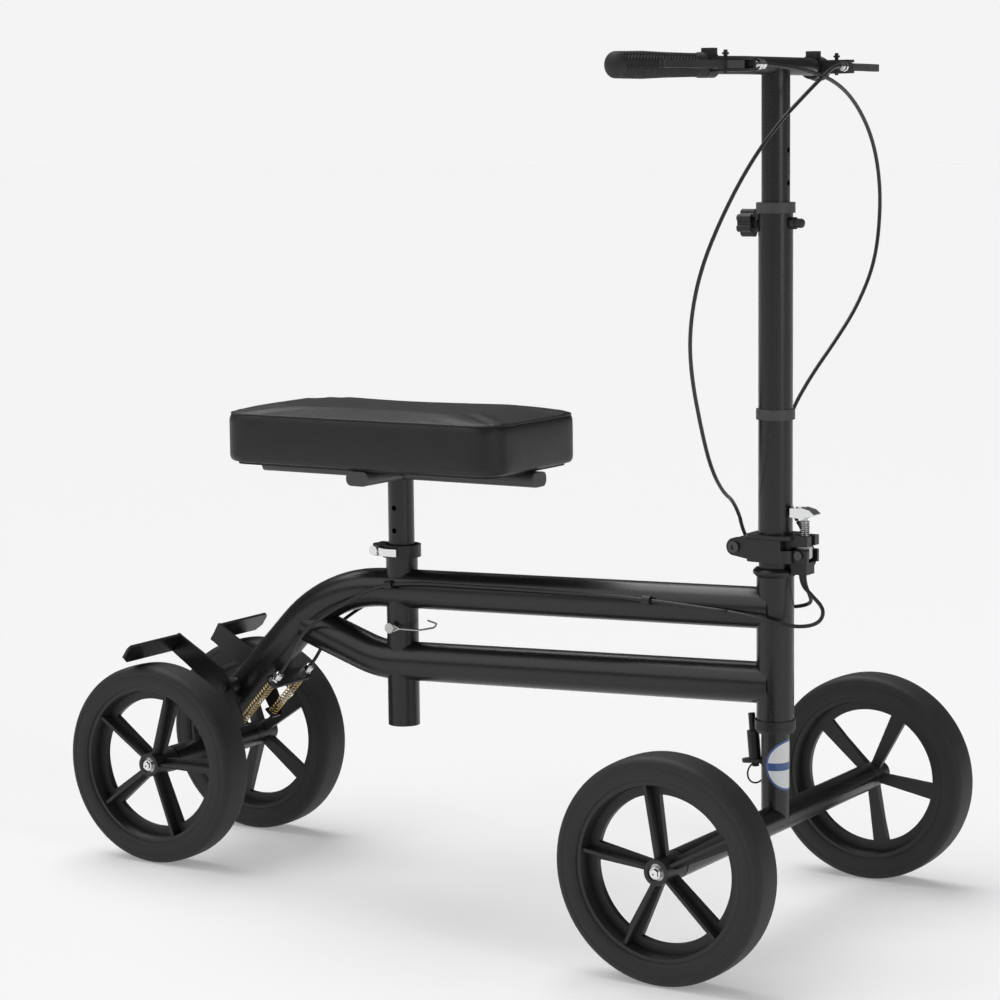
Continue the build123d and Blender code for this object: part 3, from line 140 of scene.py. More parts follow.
def coated(name, colour, roughness, peel=0.00006, coat=0.0):
    """Powder coat: orange peel about 1.2 mm across, a faint fleck and slightly uneven gloss."""
    finish = Finish(name, {"Coat Weight": coat, "Coat Roughness": 0.12, "Specular IOR Level": 0.5})
    cloud = finish.noise(0.05, 3.0)
    fleck = finish.between(finish.noise(0.0011, 1.0), 0.56, 0.78)
    lighter = tuple(1.9 * c + 0.006 for c in colour)
    finish.tint(0.35 * cloud + 0.5 * fleck, colour, lighter)
    finish.feed("Roughness", roughness + 0.10 * cloud - 0.04 * fleck)
    finish.bump(finish.noise(0.0012, 2.0), peel)
    return finish.material


def paint(node, material):
    """Gives a carried-over CAD node its finish."""
    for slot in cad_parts[node].material_slots:
        slot.material = material


# ---- Main frame tubes ------------------------------------------------------------------------
# Round steel tubes, coped and welded into one frame: head tube, two main tubes, seat tube and
# the rear axle tube. They are powder coated together in gloss black with a faint orange peel.

gloss_black = coated("gloss_black_powder_coat", (0.0055, 0.0055, 0.0058), 0.24)
for node in ("head_tube", "upper_main_tube", "lower_main_tube", "seat_tube", "rear_axle_tube"):
    paint(node, gloss_black)


# ---- Brake bracket, headset cups and clamps -----------------------------------------------------
# Smaller steel and cast fittings on the frame: the bracket that carries the brakes, the headset
# cups and the seat clamp. They are satin black, a little rougher and greyer than the tubes.

satin_black = coated("satin_black_fittings", (0.008, 0.008, 0.0083), 0.36, peel=0.00005)
for node in ("brake_bracket", "headset_cups", "seat_clamp_collar", "lock_sleeve"):
    paint(node, satin_black)


def plated(name, colour, roughness, brushed=0.0):
    """Plated steel: bright metal with faint cloudiness and fine hairlines round the turned parts."""
    finish = Finish(name, {"Metallic": 1.0})
    cloud = finish.noise(0.012, 3.0)
    stretch = {"Vector": finish.place, "Scale": (60.0, 2600.0, 60.0)}
    lines = finish.noise(1.0, 2.0, finish.node("ShaderNodeMapping", {}, stretch))
    finish.tint(cloud, tuple(0.82 * c for c in colour), colour)
    finish.feed("Roughness", roughness + 0.10 * cloud + brushed * lines)
    finish.bump(finish.noise(0.0006, 2.0), 0.000008)
    return finish.material


chrome = plated("chrome_plate", (0.86, 0.87, 0.88), 0.05)
zinc = plated("zinc_plate", (0.60, 0.60, 0.58), 0.22, brushed=0.12)
for node in ("rear_axle_bolts", "rear_cable_adjusters", "seat_clamp_lever"):
    paint(node, chrome)
for node in ("headset_bearings", "rear_wheel_bearings", "seat_pin"):
    paint(node, zinc)
bolt_black = plated("blackened_bolts", (0.10, 0.10, 0.105), 0.28)
paint("brake_pivot_bolts", bolt_black)


# ---- Fork, front axle and steering lock -------------------------------------------------------
# One upright steel tube welded to a cross tube that carries the front wheels, in the frame's
# gloss black. A sprung plunger with a wire ring stands behind it.

for node in ("fork_tube", "front_axle_tube"):
    paint(node, gloss_black)
paint("front_axle_bolts", chrome)
paint("front_wheel_bearings", zinc)
paint("lock_pin", satin_black)


# ---- Oval label on the fork --------------------------------------------------------------------
# A printed vinyl sticker wrapped round the fork tube under the head tube. It is plain white with
# one blue band and a thin blue edge, and says nothing.

def sheet_mesh(name, points, closed_u=False, closed_v=False, flip=False):
    """A mesh over a grid of points (rows, columns, 3): each cell is one face."""
    rows, columns = points.shape[:2]
    index = np.arange(rows * columns).reshape(rows, columns)
    if closed_u:
        index = np.vstack([index, index[:1]])
    if closed_v:
        index = np.hstack([index, index[:, :1]])
    corners = [index[:-1, :-1], index[1:, :-1], index[1:, 1:], index[:-1, 1:]]
    if flip:
        corners.reverse()
    faces = np.stack([c.ravel() for c in corners], axis=1)
    mesh = bpy.data.meshes.new(name)
    mesh.from_pydata(points.reshape(-1, 3).tolist(), [], faces.tolist())
    mesh.polygons.foreach_set("use_smooth", np.ones(len(mesh.polygons), bool))
    made = bpy.data.objects.new(name, mesh)
    bpy.context.scene.collection.objects.link(made)
    return made


fork_low, fork_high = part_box("fork_tube")
steer_x = (fork_low[0] + fork_high[0]) / 2
fork_radius = (fork_high[1] - fork_low[1]) / 2
label_centre_z, label_half_height, label_half_turn = 0.1515, 0.0234, radians(105)
# Polar grid on the tube: u goes round the oval and r out from its middle; the oval's place
# gives the angle round the tube and the height.
turn, out = np.meshgrid(np.linspace(0, 2 * pi, 96, endpoint=False), np.linspace(0.001, 1, 14), indexing="ij")
label_centre_turn, label_thickness = radians(1), 0.00012
label_turn = label_centre_turn + label_half_turn * out * np.cos(turn)
label_radius = fork_radius + label_thickness
label_points = np.stack(
    [
        steer_x + label_radius * np.cos(label_turn),
        label_radius * np.sin(label_turn),
        label_centre_z + label_half_height * out * np.sin(turn),
    ],
    axis=2,
)
label = sheet_mesh("fork_label", label_points, closed_u=True)
label_uv = label.data.uv_layers.new(name="oval")
corner_index = np.empty(len(label.data.loops), np.int32)
label.data.loops.foreach_get("vertex_index", corner_index)
flat_oval = np.stack([0.5 + 0.5 * out * np.cos(turn), 0.5 + 0.5 * out * np.sin(turn)], axis=2)
flat_oval = flat_oval.reshape(-1, 2)
label_uv.data.foreach_set("uv", flat_oval[corner_index].ravel())
label_finish = Finish("printed_label", {"Roughness": 0.32, "Coat Weight": 0.4})
oval_place = label_finish.node("ShaderNodeUVMap", {"uv_map": "oval"}, {})
across = label_finish.node("ShaderNodeSeparateXYZ", {}, {0: oval_place}, 1)
from_middle = {0: oval_place, 1: (0.5, 0.5, 0.0)}
middle = label_finish.node("ShaderNodeVectorMath", {"operation": "DISTANCE"}, from_middle, 1)
band = label_finish.between(across, 0.40, 0.41) * (1 - label_finish.between(across, 0.55, 0.56))
edge = label_finish.between(middle, 0.455, 0.462)
stain = 0.06 * label_finish.noise(0.004)
ink = label_finish.node("ShaderNodeMath", {"operation": "MAXIMUM"}, {0: band, 1: edge})
label_finish.tint(ink * 0.96 + stain, (0.84, 0.85, 0.86), (0.03, 0.09, 0.30))
label.data.materials.append(label_finish.material)
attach(label, "fork")


# ---- Hinge, latch and cable guide ----------------------------------------------------------------
# Two cast blocks joined by a cross pin let the column fold back. A cam lever and a hooked rod
# with a small coil spring hold them shut, and a moulded guide under them carries the cables.

cast_black = coated("cast_hinge_black", (0.010, 0.010, 0.0105), 0.34, peel=0.00009)
for node in ("hinge_lower_block", "hinge_upper_block"):
    paint(node, cast_black)
paint("hinge_bolts", bolt_black)
paint("latch_rod", zinc)
paint("latch_lever", chrome)


def moulded(name, colour, roughness, grain=0.0007, depth=0.00003):
    """Moulded nylon: a fine spark-eroded grain, slightly cloudy, a little polished in places."""
    finish = Finish(name, {"Specular IOR Level": 0.45})
    cloud = finish.noise(0.03, 2.0)
    speck = finish.noise(grain, 3.0)
    finish.tint(0.6 * cloud + 0.3 * speck, colour, tuple(1.7 * c + 0.005 for c in colour))
    finish.feed("Roughness", roughness + 0.14 * cloud)
    finish.bump(speck, depth)
    return finish.material


black_nylon = moulded("black_nylon", (0.012, 0.012, 0.0125), 0.42)
paint("cable_guide", black_nylon)
paint("cable_clips", black_nylon)


def tube_points(path, radius, sides=12):
    """A round tube along a path: at each point a circle square to the path, with the frame
    carried on from point to point so that it never twists."""
    path = np.asarray(path, float)
    tangent = np.gradient(path, axis=0)
    tangent /= np.linalg.norm(tangent, axis=1)[:, None]
    normal = np.zeros_like(path)
    first = np.cross(tangent[0], (0.3, 0.5, 0.81))
    normal[0] = first / np.linalg.norm(first)
    for i in range(1, len(path)):
        carried = normal[i - 1] - tangent[i] * (normal[i - 1] @ tangent[i])
        normal[i] = carried / np.linalg.norm(carried)
    binormal = np.cross(tangent, normal)
    angle = np.linspace(0, 2 * pi, sides, endpoint=False)
    wave = normal[:, None] * np.cos(angle)[None, :, None]
    wave = wave + binormal[:, None] * np.sin(angle)[None, :, None]
    return path[:, None] + radius * wave


def tube(name, path, radius, sides=12):
    """The tube as a mesh with domed ends: two smaller rings draw each end in, the last almost to a point."""
    rings = tube_points(path, radius, sides)
    ends = []
    for ring, point, step in ((rings[0], path[0], path[1]), (rings[-1], path[-1], path[-2])):
        outward = np.asarray(point, float) - np.asarray(step, float)
        outward /= np.linalg.norm(outward)
        centre = np.asarray(point, float)
        dome = ((0.75, 0.22), (0.02, 0.3))
        ends.append([centre + (ring - centre) * k + outward * radius * h for k, h in dome])
    rings = np.concatenate([[ends[0][1], ends[0][0]], rings, [ends[1][0], ends[1][1]]])
    return sheet_mesh(name, rings, closed_v=True, flip=True)


def coil(name, bottom, top, radius, wire, turns, sides=9):
    """A wound spring: a helix about the line from bottom to top, closed up flat at both ends."""
    flat = 0.9
    steps_a_turn = 22
    bottom, top = Vector(bottom), Vector(top)
    axis = (top - bottom).normalized()
    side = axis.orthogonal().normalized()
    other = axis.cross(side)
    t = np.linspace(0, 1, int(turns * steps_a_turn) + 1)
    lift = np.clip((t * turns - flat) / (turns - 2 * flat), 0, 1)
    rise = wire + lift * ((top - bottom).length - 2 * wire)
    rise = rise + np.where(lift <= 0, (t * turns - flat) * wire * 0.6, 0)
    rise = rise + np.where(lift >= 1, (t * turns - turns + flat) * wire * 0.6, 0)
    angle = 2 * pi * turns * t
    path = np.array(bottom) + rise[:, None] * np.array(axis)
    circle = np.cos(angle)[:, None] * np.array(side) + np.sin(angle)[:, None] * np.array(other)
    path = path + radius * circle
    return tube(name, path, wire, sides)


spring_low, spring_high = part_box("latch_spring")
latch_x = (spring_low[0] + spring_high[0]) / 2
latch_coil = coil(
    "latch_coil",
    (latch_x, 0, spring_low[2]),
    (latch_x, 0, spring_high[2]),
    radius=0.0040,
    wire=0.0006,
    turns=8,
)
latch_coil.data.materials.append(zinc)
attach(latch_coil, "column")
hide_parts("latch_spring")


# ---- Column sleeve, collars and clamp knob --------------------------------------------------------
# The outer tube stands on the upper hinge block and is powder coated like the frame. Grey moulded
# collars ring it, and a star knob squeezes it onto the stem.

paint("column_sleeve", gloss_black)
collar_grey = moulded("collar_grey_nylon", (0.045, 0.045, 0.047), 0.45)
paint("sleeve_collars", collar_grey)
paint("clamp_cap", black_nylon)
paint("star_knob", black_nylon)


# ---- Stem and handlebar ----------------------------------------------------------------------
# A slimmer tube with height holes in gloss black, and the bent bar across its top in satin black,
# with the hand levers and their brackets.

paint("stem", gloss_black)
paint("handlebar", satin_black)
paint("lever_brackets", black_nylon)
paint("lever_adjusters", chrome)
lever_black = coated("lever_black_alloy", (0.010, 0.010, 0.0105), 0.32, peel=0.00003)
paint("right_lever", lever_black)
paint("left_lever", lever_black)

# ---- Grips -----------------------------------------------------------------------------------
# Soft rubber sleeves pushed on over the bar. They swell towards the palm, close over the bar's
# end, and are moulded all round with a raised herringbone for hold.

grip_rubber = moulded("grip_rubber", (0.013, 0.013, 0.0135), 0.55, grain=0.0004, depth=0.00004)
bar_z = 0.7785
bend_y, sweep = 0.066, radians(22)
grip_start = 0.0445
palm_length, dome_length = 0.0935, 0.0085
inner_radius = 0.0080
rib_pitch, rib_groove, rib_bands = 0.0034, 0.0008, 8
for name, side in (("right_grip", -1), ("left_grip", 1)):
    # Profile: radius against distance along the bar, a flange at the inner end, a waist, a
    # palm swell, and a dome that closes the outer end.
    closing = palm_length + dome_length * np.sin(np.linspace(0, pi / 2, 16)[1:])
    along = np.concatenate([np.linspace(0, palm_length, 230), closing])
    stations = [0, 0.0038, 0.0046, 0.010, 0.040, 0.066, palm_length]
    body = np.interp(along, stations, [0.011, 0.011, 0.0103, 0.0102, 0.0108, 0.0118, 0.0114])
    dome = np.clip((along - palm_length) / dome_length, 0, 1)
    body = body * np.sqrt(np.clip(1 - dome**2.2, 0.0004, 1))
    around = np.linspace(0, 2 * pi, 168, endpoint=False)
    a, r = np.meshgrid(around, np.arange(len(along)), indexing="ij")
    # Herringbone: slanted ribs whose slant turns over and back in each band round the grip.
    zigzag = np.abs(((a / (2 * pi) * rib_bands) % 1) - 0.5) * 2
    rib = 0.5 + 0.5 * np.cos(2 * pi * (along[r] / rib_pitch + 1.1 * zigzag))
    ridge = np.clip(rib * 2.4 - 0.7, 0, 1)
    textured = np.clip((along[r] - 0.009) / 0.002, 0, 1)
    textured = textured * np.clip((0.0915 - along[r]) / 0.002, 0, 1)
    radius = body[r] - rib_groove * textured * (1 - ridge)
    axis = np.array([-sin(sweep), side * cos(sweep), 0.0])
    across_bar = np.array([cos(sweep), side * sin(sweep), 0.0])
    start_y = side * (bend_y + grip_start * cos(sweep))
    start = np.array([steer_x - grip_start * sin(sweep), start_y, bar_z])
    spokes = np.cos(a)[..., None] * across_bar + np.sin(a)[..., None] * np.array([0, 0, 1.0])
    points = start + along[r][..., None] * axis + radius[..., None] * spokes
    # The inner end turns in to the bar.
    inner = start + inner_radius * spokes[:, :1]
    points = np.concatenate([inner, points], axis=1)
    grip = sheet_mesh(name, points, closed_u=True, flip=side < 0)
    grip.data.materials.append(grip_rubber)
    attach(grip, "handlebar_set")
    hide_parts("grips")


# ---- Seat frame ------------------------------------------------------------------------------
# A post with height holes carries a cross of two flat oval tubes with plastic end caps, and a
# plywood board is screwed on top of them.

paint("seat_post", gloss_black)
bar_grey = coated("cross_bar_grey", (0.040, 0.040, 0.042), 0.36)
paint("seat_cross_bars", bar_grey)
paint("bar_end_caps", moulded("end_cap_nylon", (0.05, 0.05, 0.052), 0.5))
board = Finish("stained_board", {"Roughness": 0.7})
grain_place = board.node("ShaderNodeMapping", {}, {"Vector": board.place, "Scale": (12.0, 160.0, 160.0)})
grain = board.noise(1.0, 4.0, grain_place)
board.tint(grain, (0.012, 0.011, 0.010), (0.035, 0.031, 0.027))
board.bump(grain, 0.0001)
paint("seat_board", board.material)


# ---- Knee pad ---------------------------------------------------------------------------------
# Firm foam on the board under black grained vinyl: a top panel sewn to a side band with a corded
# seam just under the top edge, and the band wrapped under and stapled to the board.

pad_low, pad_high = (np.array(v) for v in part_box("seat_pad"))
pad_centre = (pad_low + pad_high) / 2
half_x, half_y = (pad_high - pad_low)[:2] / 2 - 0.0028
corner = 0.026
seam_z = pad_high[2] - 0.0058


def pad_outline(count):
    """A rounded rectangle, evenly stepped: the corner circles are joined by straight sides."""
    hx, hy, rc = half_x, half_y, corner
    lengths = [2 * (hx - rc), pi / 2 * rc, 2 * (hy - rc), pi / 2 * rc] * 2
    stops = np.concatenate([[0], np.cumsum(lengths)])
    s = np.linspace(0, stops[-1], count, endpoint=False)
    out_points = np.zeros((count, 2))
    for k, (right, up) in enumerate(((1, -1), (1, 1), (-1, 1), (-1, -1))):
        cx, cy = right * (hx - rc), up * (hy - rc)
        first = -pi / 2 + k * pi / 2
        arc = (s >= stops[2 * k + 1]) & (s < stops[2 * k + 2])
        angle = first + (s[arc] - stops[2 * k + 1]) / rc
        out_points[arc] = np.stack([cx + rc * np.cos(angle), cy + rc * np.sin(angle)], axis=1)
        run = (s >= stops[2 * k]) & (s < stops[2 * k + 1])
        direction = np.array([np.cos(first + pi / 2), np.sin(first + pi / 2)])
        base = np.array([cx, cy]) + rc * np.array([np.cos(first), np.sin(first)])
        out_points[run] = base + (s[run] - stops[2 * k + 1])[:, None] * direction
    return out_points


# The foam block: rings of the outline at rising heights, drawn in at the bottom and rounded over
# at the top, then smaller rings that fill the top and the bottom. Each level is the share of the
# half width that the ring keeps, and its height.
levels = [(0.30, 0.0), (0.75, 0.0), (0.97, 0.0005), (1.0, 0.003), (1.0, 0.016), (1.0, 0.030)]
levels += [(1.0, 0.044), (0.992, 0.0478), (0.975, 0.0495), (0.94, 0.0503), (0.85, 0.0506)]
levels += [(0.6, 0.0508), (0.3, 0.0509)]
foam_height = 0.0509
outline_count = 160
outline = pad_outline(outline_count)
rings = []
for share, height in levels:
    inset = (1 - share) * half_y
    ring = outline * np.array([(half_x - inset) / half_x, (half_y - inset) / half_y])
    rings.append(np.column_stack([ring + pad_centre[:2], np.full(len(ring), pad_low[2] + height)]))
rings = [np.tile([pad_centre[0], pad_centre[1], pad_low[2]], (outline_count, 1))] + rings
rings += [np.tile([pad_centre[0], pad_centre[1], pad_low[2] + foam_height], (outline_count, 1))]
pad = sheet_mesh("knee_pad", np.array(rings), closed_v=True)


def apply_modifiers(piece):
    """Makes the piece's mesh what its modifiers show."""
    shown = piece.evaluated_get(bpy.context.evaluated_depsgraph_get())
    mesh = bpy.data.meshes.new_from_object(shown)
    piece.modifiers.clear()
    piece.data = mesh


def heights(piece):
    points = np.empty(len(piece.data.vertices) * 3)
    piece.data.vertices.foreach_get("co", points)
    return points.reshape(-1, 3)


pad_remesh = pad.modifiers.new("even", "REMESH")
pad_remesh.mode = "VOXEL"
pad_remesh.voxel_size = 0.0034
apply_modifiers(pad)
rest = heights(pad)
held = pad.vertex_groups.new(name="held")
at_board = np.nonzero(rest[:, 2] < pad_low[2] + 0.004)[0]
held.add(at_board.tolist(), 1.0, "REPLACE")
outer = np.abs(rest[:, :2] - pad_centre[:2]) > np.array([half_x, half_y]) - 0.02
at_seam = np.nonzero((np.abs(rest[:, 2] - seam_z + 0.0008) < 0.0024) & outer.any(axis=1))[0]
held.add(at_seam.tolist(), 0.7, "REPLACE")
cloth = pad.modifiers.new("swell", "CLOTH")
cloth.settings.vertex_group_mass = "held"
cloth.settings.use_pressure = True
cloth.settings.uniform_pressure_force = 3.2
cloth.settings.effector_weights.gravity = 0.0
cloth.settings.tension_stiffness = 30
cloth.settings.compression_stiffness = 30
cloth.settings.shear_stiffness = 12
for step in range(1, 19):
    bpy.context.scene.frame_set(step)
apply_modifiers(pad)
bpy.context.scene.frame_set(1)
moved = heights(pad) - rest
size = np.linalg.norm(moved, axis=1)[:, None]
swell_limit = 0.0042
rest = rest + moved * np.minimum(1, swell_limit / np.maximum(size, 1e-9))
# The vinyl pulls in along the seam.
seam_reach, seam_pull = 0.0030, 0.0013
place = rest - pad_centre
near_seam = np.exp(-(((rest[:, 2] - seam_z) / seam_reach) ** 2))
outward = np.clip(np.abs(place[:, :2]) - (np.array([half_x, half_y]) - 0.012), 0, None)
length = np.linalg.norm(outward, axis=1)[:, None]
direction = np.sign(place[:, :2]) * outward / np.maximum(length, 1e-9)
rest[:, :2] -= direction * (seam_pull * near_seam)[:, None] * (length > 0)
rest[:, :2] = np.clip(rest[:, :2], pad_low[:2] - 0.002, pad_high[:2] + 0.002)
rest[:, 2] = np.maximum(rest[:, 2], pad_low[2])
pad.data.vertices.foreach_set("co", rest.ravel())
pad.data.update()
finer = pad.modifiers.new("finer", "SUBSURF")
finer.levels = finer.render_levels = 1
apply_modifiers(pad)
pad.data.polygons.foreach_set("use_smooth", np.ones(len(pad.data.polygons), bool))

vinyl = Finish("grained_vinyl", {"Specular IOR Level": 0.42})
grain_cells = {"Scale": 620.0, "Vector": vinyl.place}
pebbles = vinyl.node("ShaderNodeTexVoronoi", {"feature": "DISTANCE_TO_EDGE"}, grain_cells)
crease = vinyl.between(pebbles, 0.02, 0.22)
soft = vinyl.noise(0.03, 3.0)
# Painted shade: the base colour is darker along the creases between the grain's pebbles and lighter on their
# tops.
vinyl.tint(0.5 * soft + 0.4 * crease, (0.0075, 0.0075, 0.008), (0.016, 0.016, 0.0165))
vinyl.feed("Roughness", 0.40 + 0.12 * soft - 0.06 * crease)
vinyl.bump(crease * 0.8 + 0.4 * vinyl.noise(0.006, 2.0), 0.00010)
pad.data.materials.append(vinyl.material)
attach(pad, "seat")
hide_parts("seat_pad")

# The corded seam lies in that pulled-in line: a ray from outside finds the vinyl at each step.
skin = BVHTree.FromObject(pad, bpy.context.evaluated_depsgraph_get())
seam = []
core_x, core_y = half_x - 0.035, half_y - 0.035
for x, y in pad_outline(220):
    away = np.array([x, y, 0.0])
    inner = np.clip(away, [-core_x, -core_y, 0], [core_x, core_y, 0])
    ray = (away - inner) / np.linalg.norm(away - inner)
    origin = pad_centre + inner + ray * 0.08
    origin[2] = seam_z
    found = skin.ray_cast(Vector(origin), Vector(-ray))[0]
    seam.append(np.array(found) + ray * 0.0001)
seam = np.array(seam)
seam_path = np.concatenate([seam, seam[:1]])
cord_rings = tube_points(np.concatenate([seam[-1:], seam, seam[:1]]), 0.0011, 10)[1:-1]
piping = sheet_mesh("pad_piping", cord_rings, closed_u=True, closed_v=True, flip=True)
piping.data.materials.append(vinyl.material)
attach(piping, "seat")

# Stitches run just under the cord, each a short thread on the band's surface.
thread = moulded("seam_thread", (0.02, 0.02, 0.021), 0.6, grain=0.0003)
step_out = seam_path[1:] - seam_path[:-1]
run = np.concatenate([[0], np.cumsum(np.linalg.norm(step_out, axis=1))])
stitch_pitch, stitch_length = 0.0042, 0.0026
count = int(run[-1] / stitch_pitch)
at = np.arange(count) / count * run[-1]
stitch_points = []
for offset in (0.0, stitch_length):
    reached = (at + offset) % run[-1]
    ends = [np.interp(reached, run, seam_path[:, k]) for k in range(3)]
    stitch_points.append(np.stack(ends, axis=1))
first_end, second_end = stitch_points
middle_end = (first_end + second_end) / 2
outside = middle_end[:, :2] - pad_centre[:2]
outside = np.sign(outside) * np.clip(np.abs(outside) - (np.array([half_x, half_y]) - 0.02), 0, None)
outside = np.column_stack([outside / np.linalg.norm(outside, axis=1)[:, None], np.zeros(count)])
drop = np.array([0, 0, -0.0022])
stitch_grid = []
for t, lift in ((0.0, -0.0001), (0.25, 0.00025), (0.75, 0.00025), (1.0, -0.0001)):
    spine = first_end * (1 - t) + second_end * t + drop + outside * (0.0006 + lift)
    for up in (-0.00035, 0.00035):
        stitch_grid.append(spine + np.array([0, 0, up]))
grid = np.array(stitch_grid).reshape(4, 2, count, 3).transpose(2, 0, 1, 3)
index = np.arange(count * 8).reshape(count, 4, 2)
faces = np.stack([index[:, :-1, 0], index[:, 1:, 0], index[:, 1:, 1], index[:, :-1, 1]], axis=-1).reshape(-1, 4)
stitch_mesh = bpy.data.meshes.new("pad_stitches")
stitch_mesh.from_pydata(grid.reshape(-1, 3).tolist(), [], faces.tolist())
stitches = bpy.data.objects.new("pad_stitches", stitch_mesh)
bpy.context.scene.collection.objects.link(stitches)
thicker = stitches.modifiers.new("thread", "SOLIDIFY")
thicker.thickness = 0.0005
stitches.data.materials.append(thread)
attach(stitches, "seat")


# ---- Rear brakes -----------------------------------------------------------------------------
# Bent steel strips that press on the tyres' tops, each pulled by its cable and returned by a
# yellow-plated compression spring between the bracket and the arm's tab.

paint("right_brake_arm", coated("brake_strip_black", (0.009, 0.009, 0.0095), 0.30, peel=0.00004))
paint("left_brake_arm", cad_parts["right_brake_arm"].material_slots[0].material)
yellow_zinc = plated("yellow_zinc_wire", (0.66, 0.50, 0.24), 0.20, brushed=0.06)
for side in ("right", "left"):
    low, high = (np.array(v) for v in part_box(f"{side}_brake_spring"))
    middle_y = (low[1] + high[1]) / 2
    wound, spring_wire = 0.0046, 0.00068
    slope = np.array([high[0] - low[0], high[2] - low[2]]) - 2 * wound * 0.73
    slope = slope / np.linalg.norm(slope)
    inset = wound * np.array([slope[1], slope[0]])
    foot = (low[0] + inset[0], middle_y, low[2] + inset[1])
    head = (high[0] - inset[0], middle_y, high[2] - inset[1])
    spring = coil(f"{side}_brake_coil", foot, head, wound - 0.0007, spring_wire, 17)
    spring.data.materials.append(yellow_zinc)
    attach(spring, "frame")
    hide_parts(f"{side}_brake_spring")


# ---- Wheels ----------------------------------------------------------------------------------
# Glass-filled nylon rims with five ribbed spokes, moulded in one piece, and solid rubber tyres
# stretched on. The tyre has a nearly flat tread, round shoulders and a crease high on its wall.

rim_nylon = moulded("rim_nylon", (0.013, 0.013, 0.0135), 0.36, grain=0.0009, depth=0.00004)
tyre_rubber = Finish("solid_tyre_rubber", {"Specular IOR Level": 0.35})
dust = tyre_rubber.noise(0.02, 4.0)
pore = tyre_rubber.noise(0.0009, 2.0)
tyre_rubber.tint(0.65 * dust + 0.2 * pore, (0.019, 0.019, 0.0195), (0.038, 0.038, 0.039))
tyre_rubber.feed("Roughness", 0.52 + 0.16 * dust)
tyre_rubber.bump(pore, 0.00006)
for wheel in ("front_right", "front_left", "rear_right", "rear_left"):
    paint(f"{wheel}_rim", rim_nylon)
    low, high = (np.array(v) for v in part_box(f"{wheel}_tyre"))
    hub = (low + high) / 2
    # Profile of (distance from the axle, distance from the middle plane), in millimetres: tread,
    # shoulder, creased sidewall and bead, mirrored to the other side.
    crown = np.linspace(0, 11.0, 8)
    shoulder_turn = np.linspace(radians(8), radians(86), 12)
    tread = np.column_stack([100.0 - 0.0033 * crown**2, crown])
    shoulder = np.column_stack([93.2 + 6.3 * np.cos(shoulder_turn), 11.6 + 6.9 * np.sin(shoulder_turn)])
    wall = np.array(
        [(92.4, 18.5), (91.9, 18.42), (91.5, 18.1), (91.0, 18.1), (90.5, 18.4), (87.0, 18.35), (83.0, 17.9),
         (81.2, 17.6), (80.5, 17.0), (79.6, 16.7), (79.0, 16.2)]
    )
    half_profile = np.concatenate([tread, shoulder, wall])
    profile = np.concatenate([half_profile[::-1] * np.array([1, -1]), half_profile[1:]]) / 1000
    profile = np.concatenate([profile, profile[:1]])
    spin = np.linspace(0, 2 * pi, 180, endpoint=False)
    w, p = np.meshgrid(spin, np.arange(len(profile) - 1), indexing="ij")
    reach, offset = profile[p, 0], profile[p, 1]
    tyre_points = hub + np.stack([reach * np.cos(w), offset, reach * np.sin(w)], axis=2)
    tyre = sheet_mesh(f"{wheel}_rubber", tyre_points, closed_u=True, closed_v=True)
    tyre.data.materials.append(tyre_rubber.material)
    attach(tyre, f"{wheel}_wheel")
    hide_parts(f"{wheel}_tyre")


# ---- Brake cables ----------------------------------------------------------------------------
# Black plastic-covered steel housings, 3.5 mm across. Each runs from its lever's adjuster, across
# the front of the column in a wide bow, past the hinge into the guide, round in a loop that lets
# the bars turn, then along the upper tube to its brake.

housing = Finish("cable_housing", {"Specular IOR Level": 0.5})
housing_cloud = housing.noise(0.01, 2.0)
housing.tint(housing_cloud, (0.010, 0.010, 0.0105), (0.020, 0.020, 0.021))
housing.feed("Roughness", 0.36 + 0.14 * housing_cloud)
housing.bump(housing.noise(0.0008), 0.00003)
housing_width = 0.0035


def smooth_line(points):
    """A NURBS line whose control points are the route's, and the points it passes, in metres."""
    line = bpy.data.curves.new("line", "CURVE")
    line.dimensions = "3D"
    spline = line.splines.new("NURBS")
    spline.points.add(len(points) - 1)
    for control, point in zip(spline.points, points):
        control.co = (steer_x + point[0] / 1000, point[1] / 1000, point[2] / 1000, 1.0)
    spline.order_u = 3
    spline.use_endpoint_u = True
    spline.resolution_u = 10
    holder = bpy.data.objects.new("line", line)
    bpy.context.scene.collection.objects.link(holder)
    mesh = bpy.data.meshes.new_from_object(holder)
    passed = np.empty(len(mesh.vertices) * 3)
    mesh.vertices.foreach_get("co", passed)
    bpy.data.objects.remove(holder)
    return passed.reshape(-1, 3)


def housing_piece(name, points):
    """One stretch of housing, as a tube along its smooth line."""
    path = smooth_line(points)
    piece = tube(name, path, housing_width / 2, 14)
    piece.data.materials.append(housing.material)
    return piece


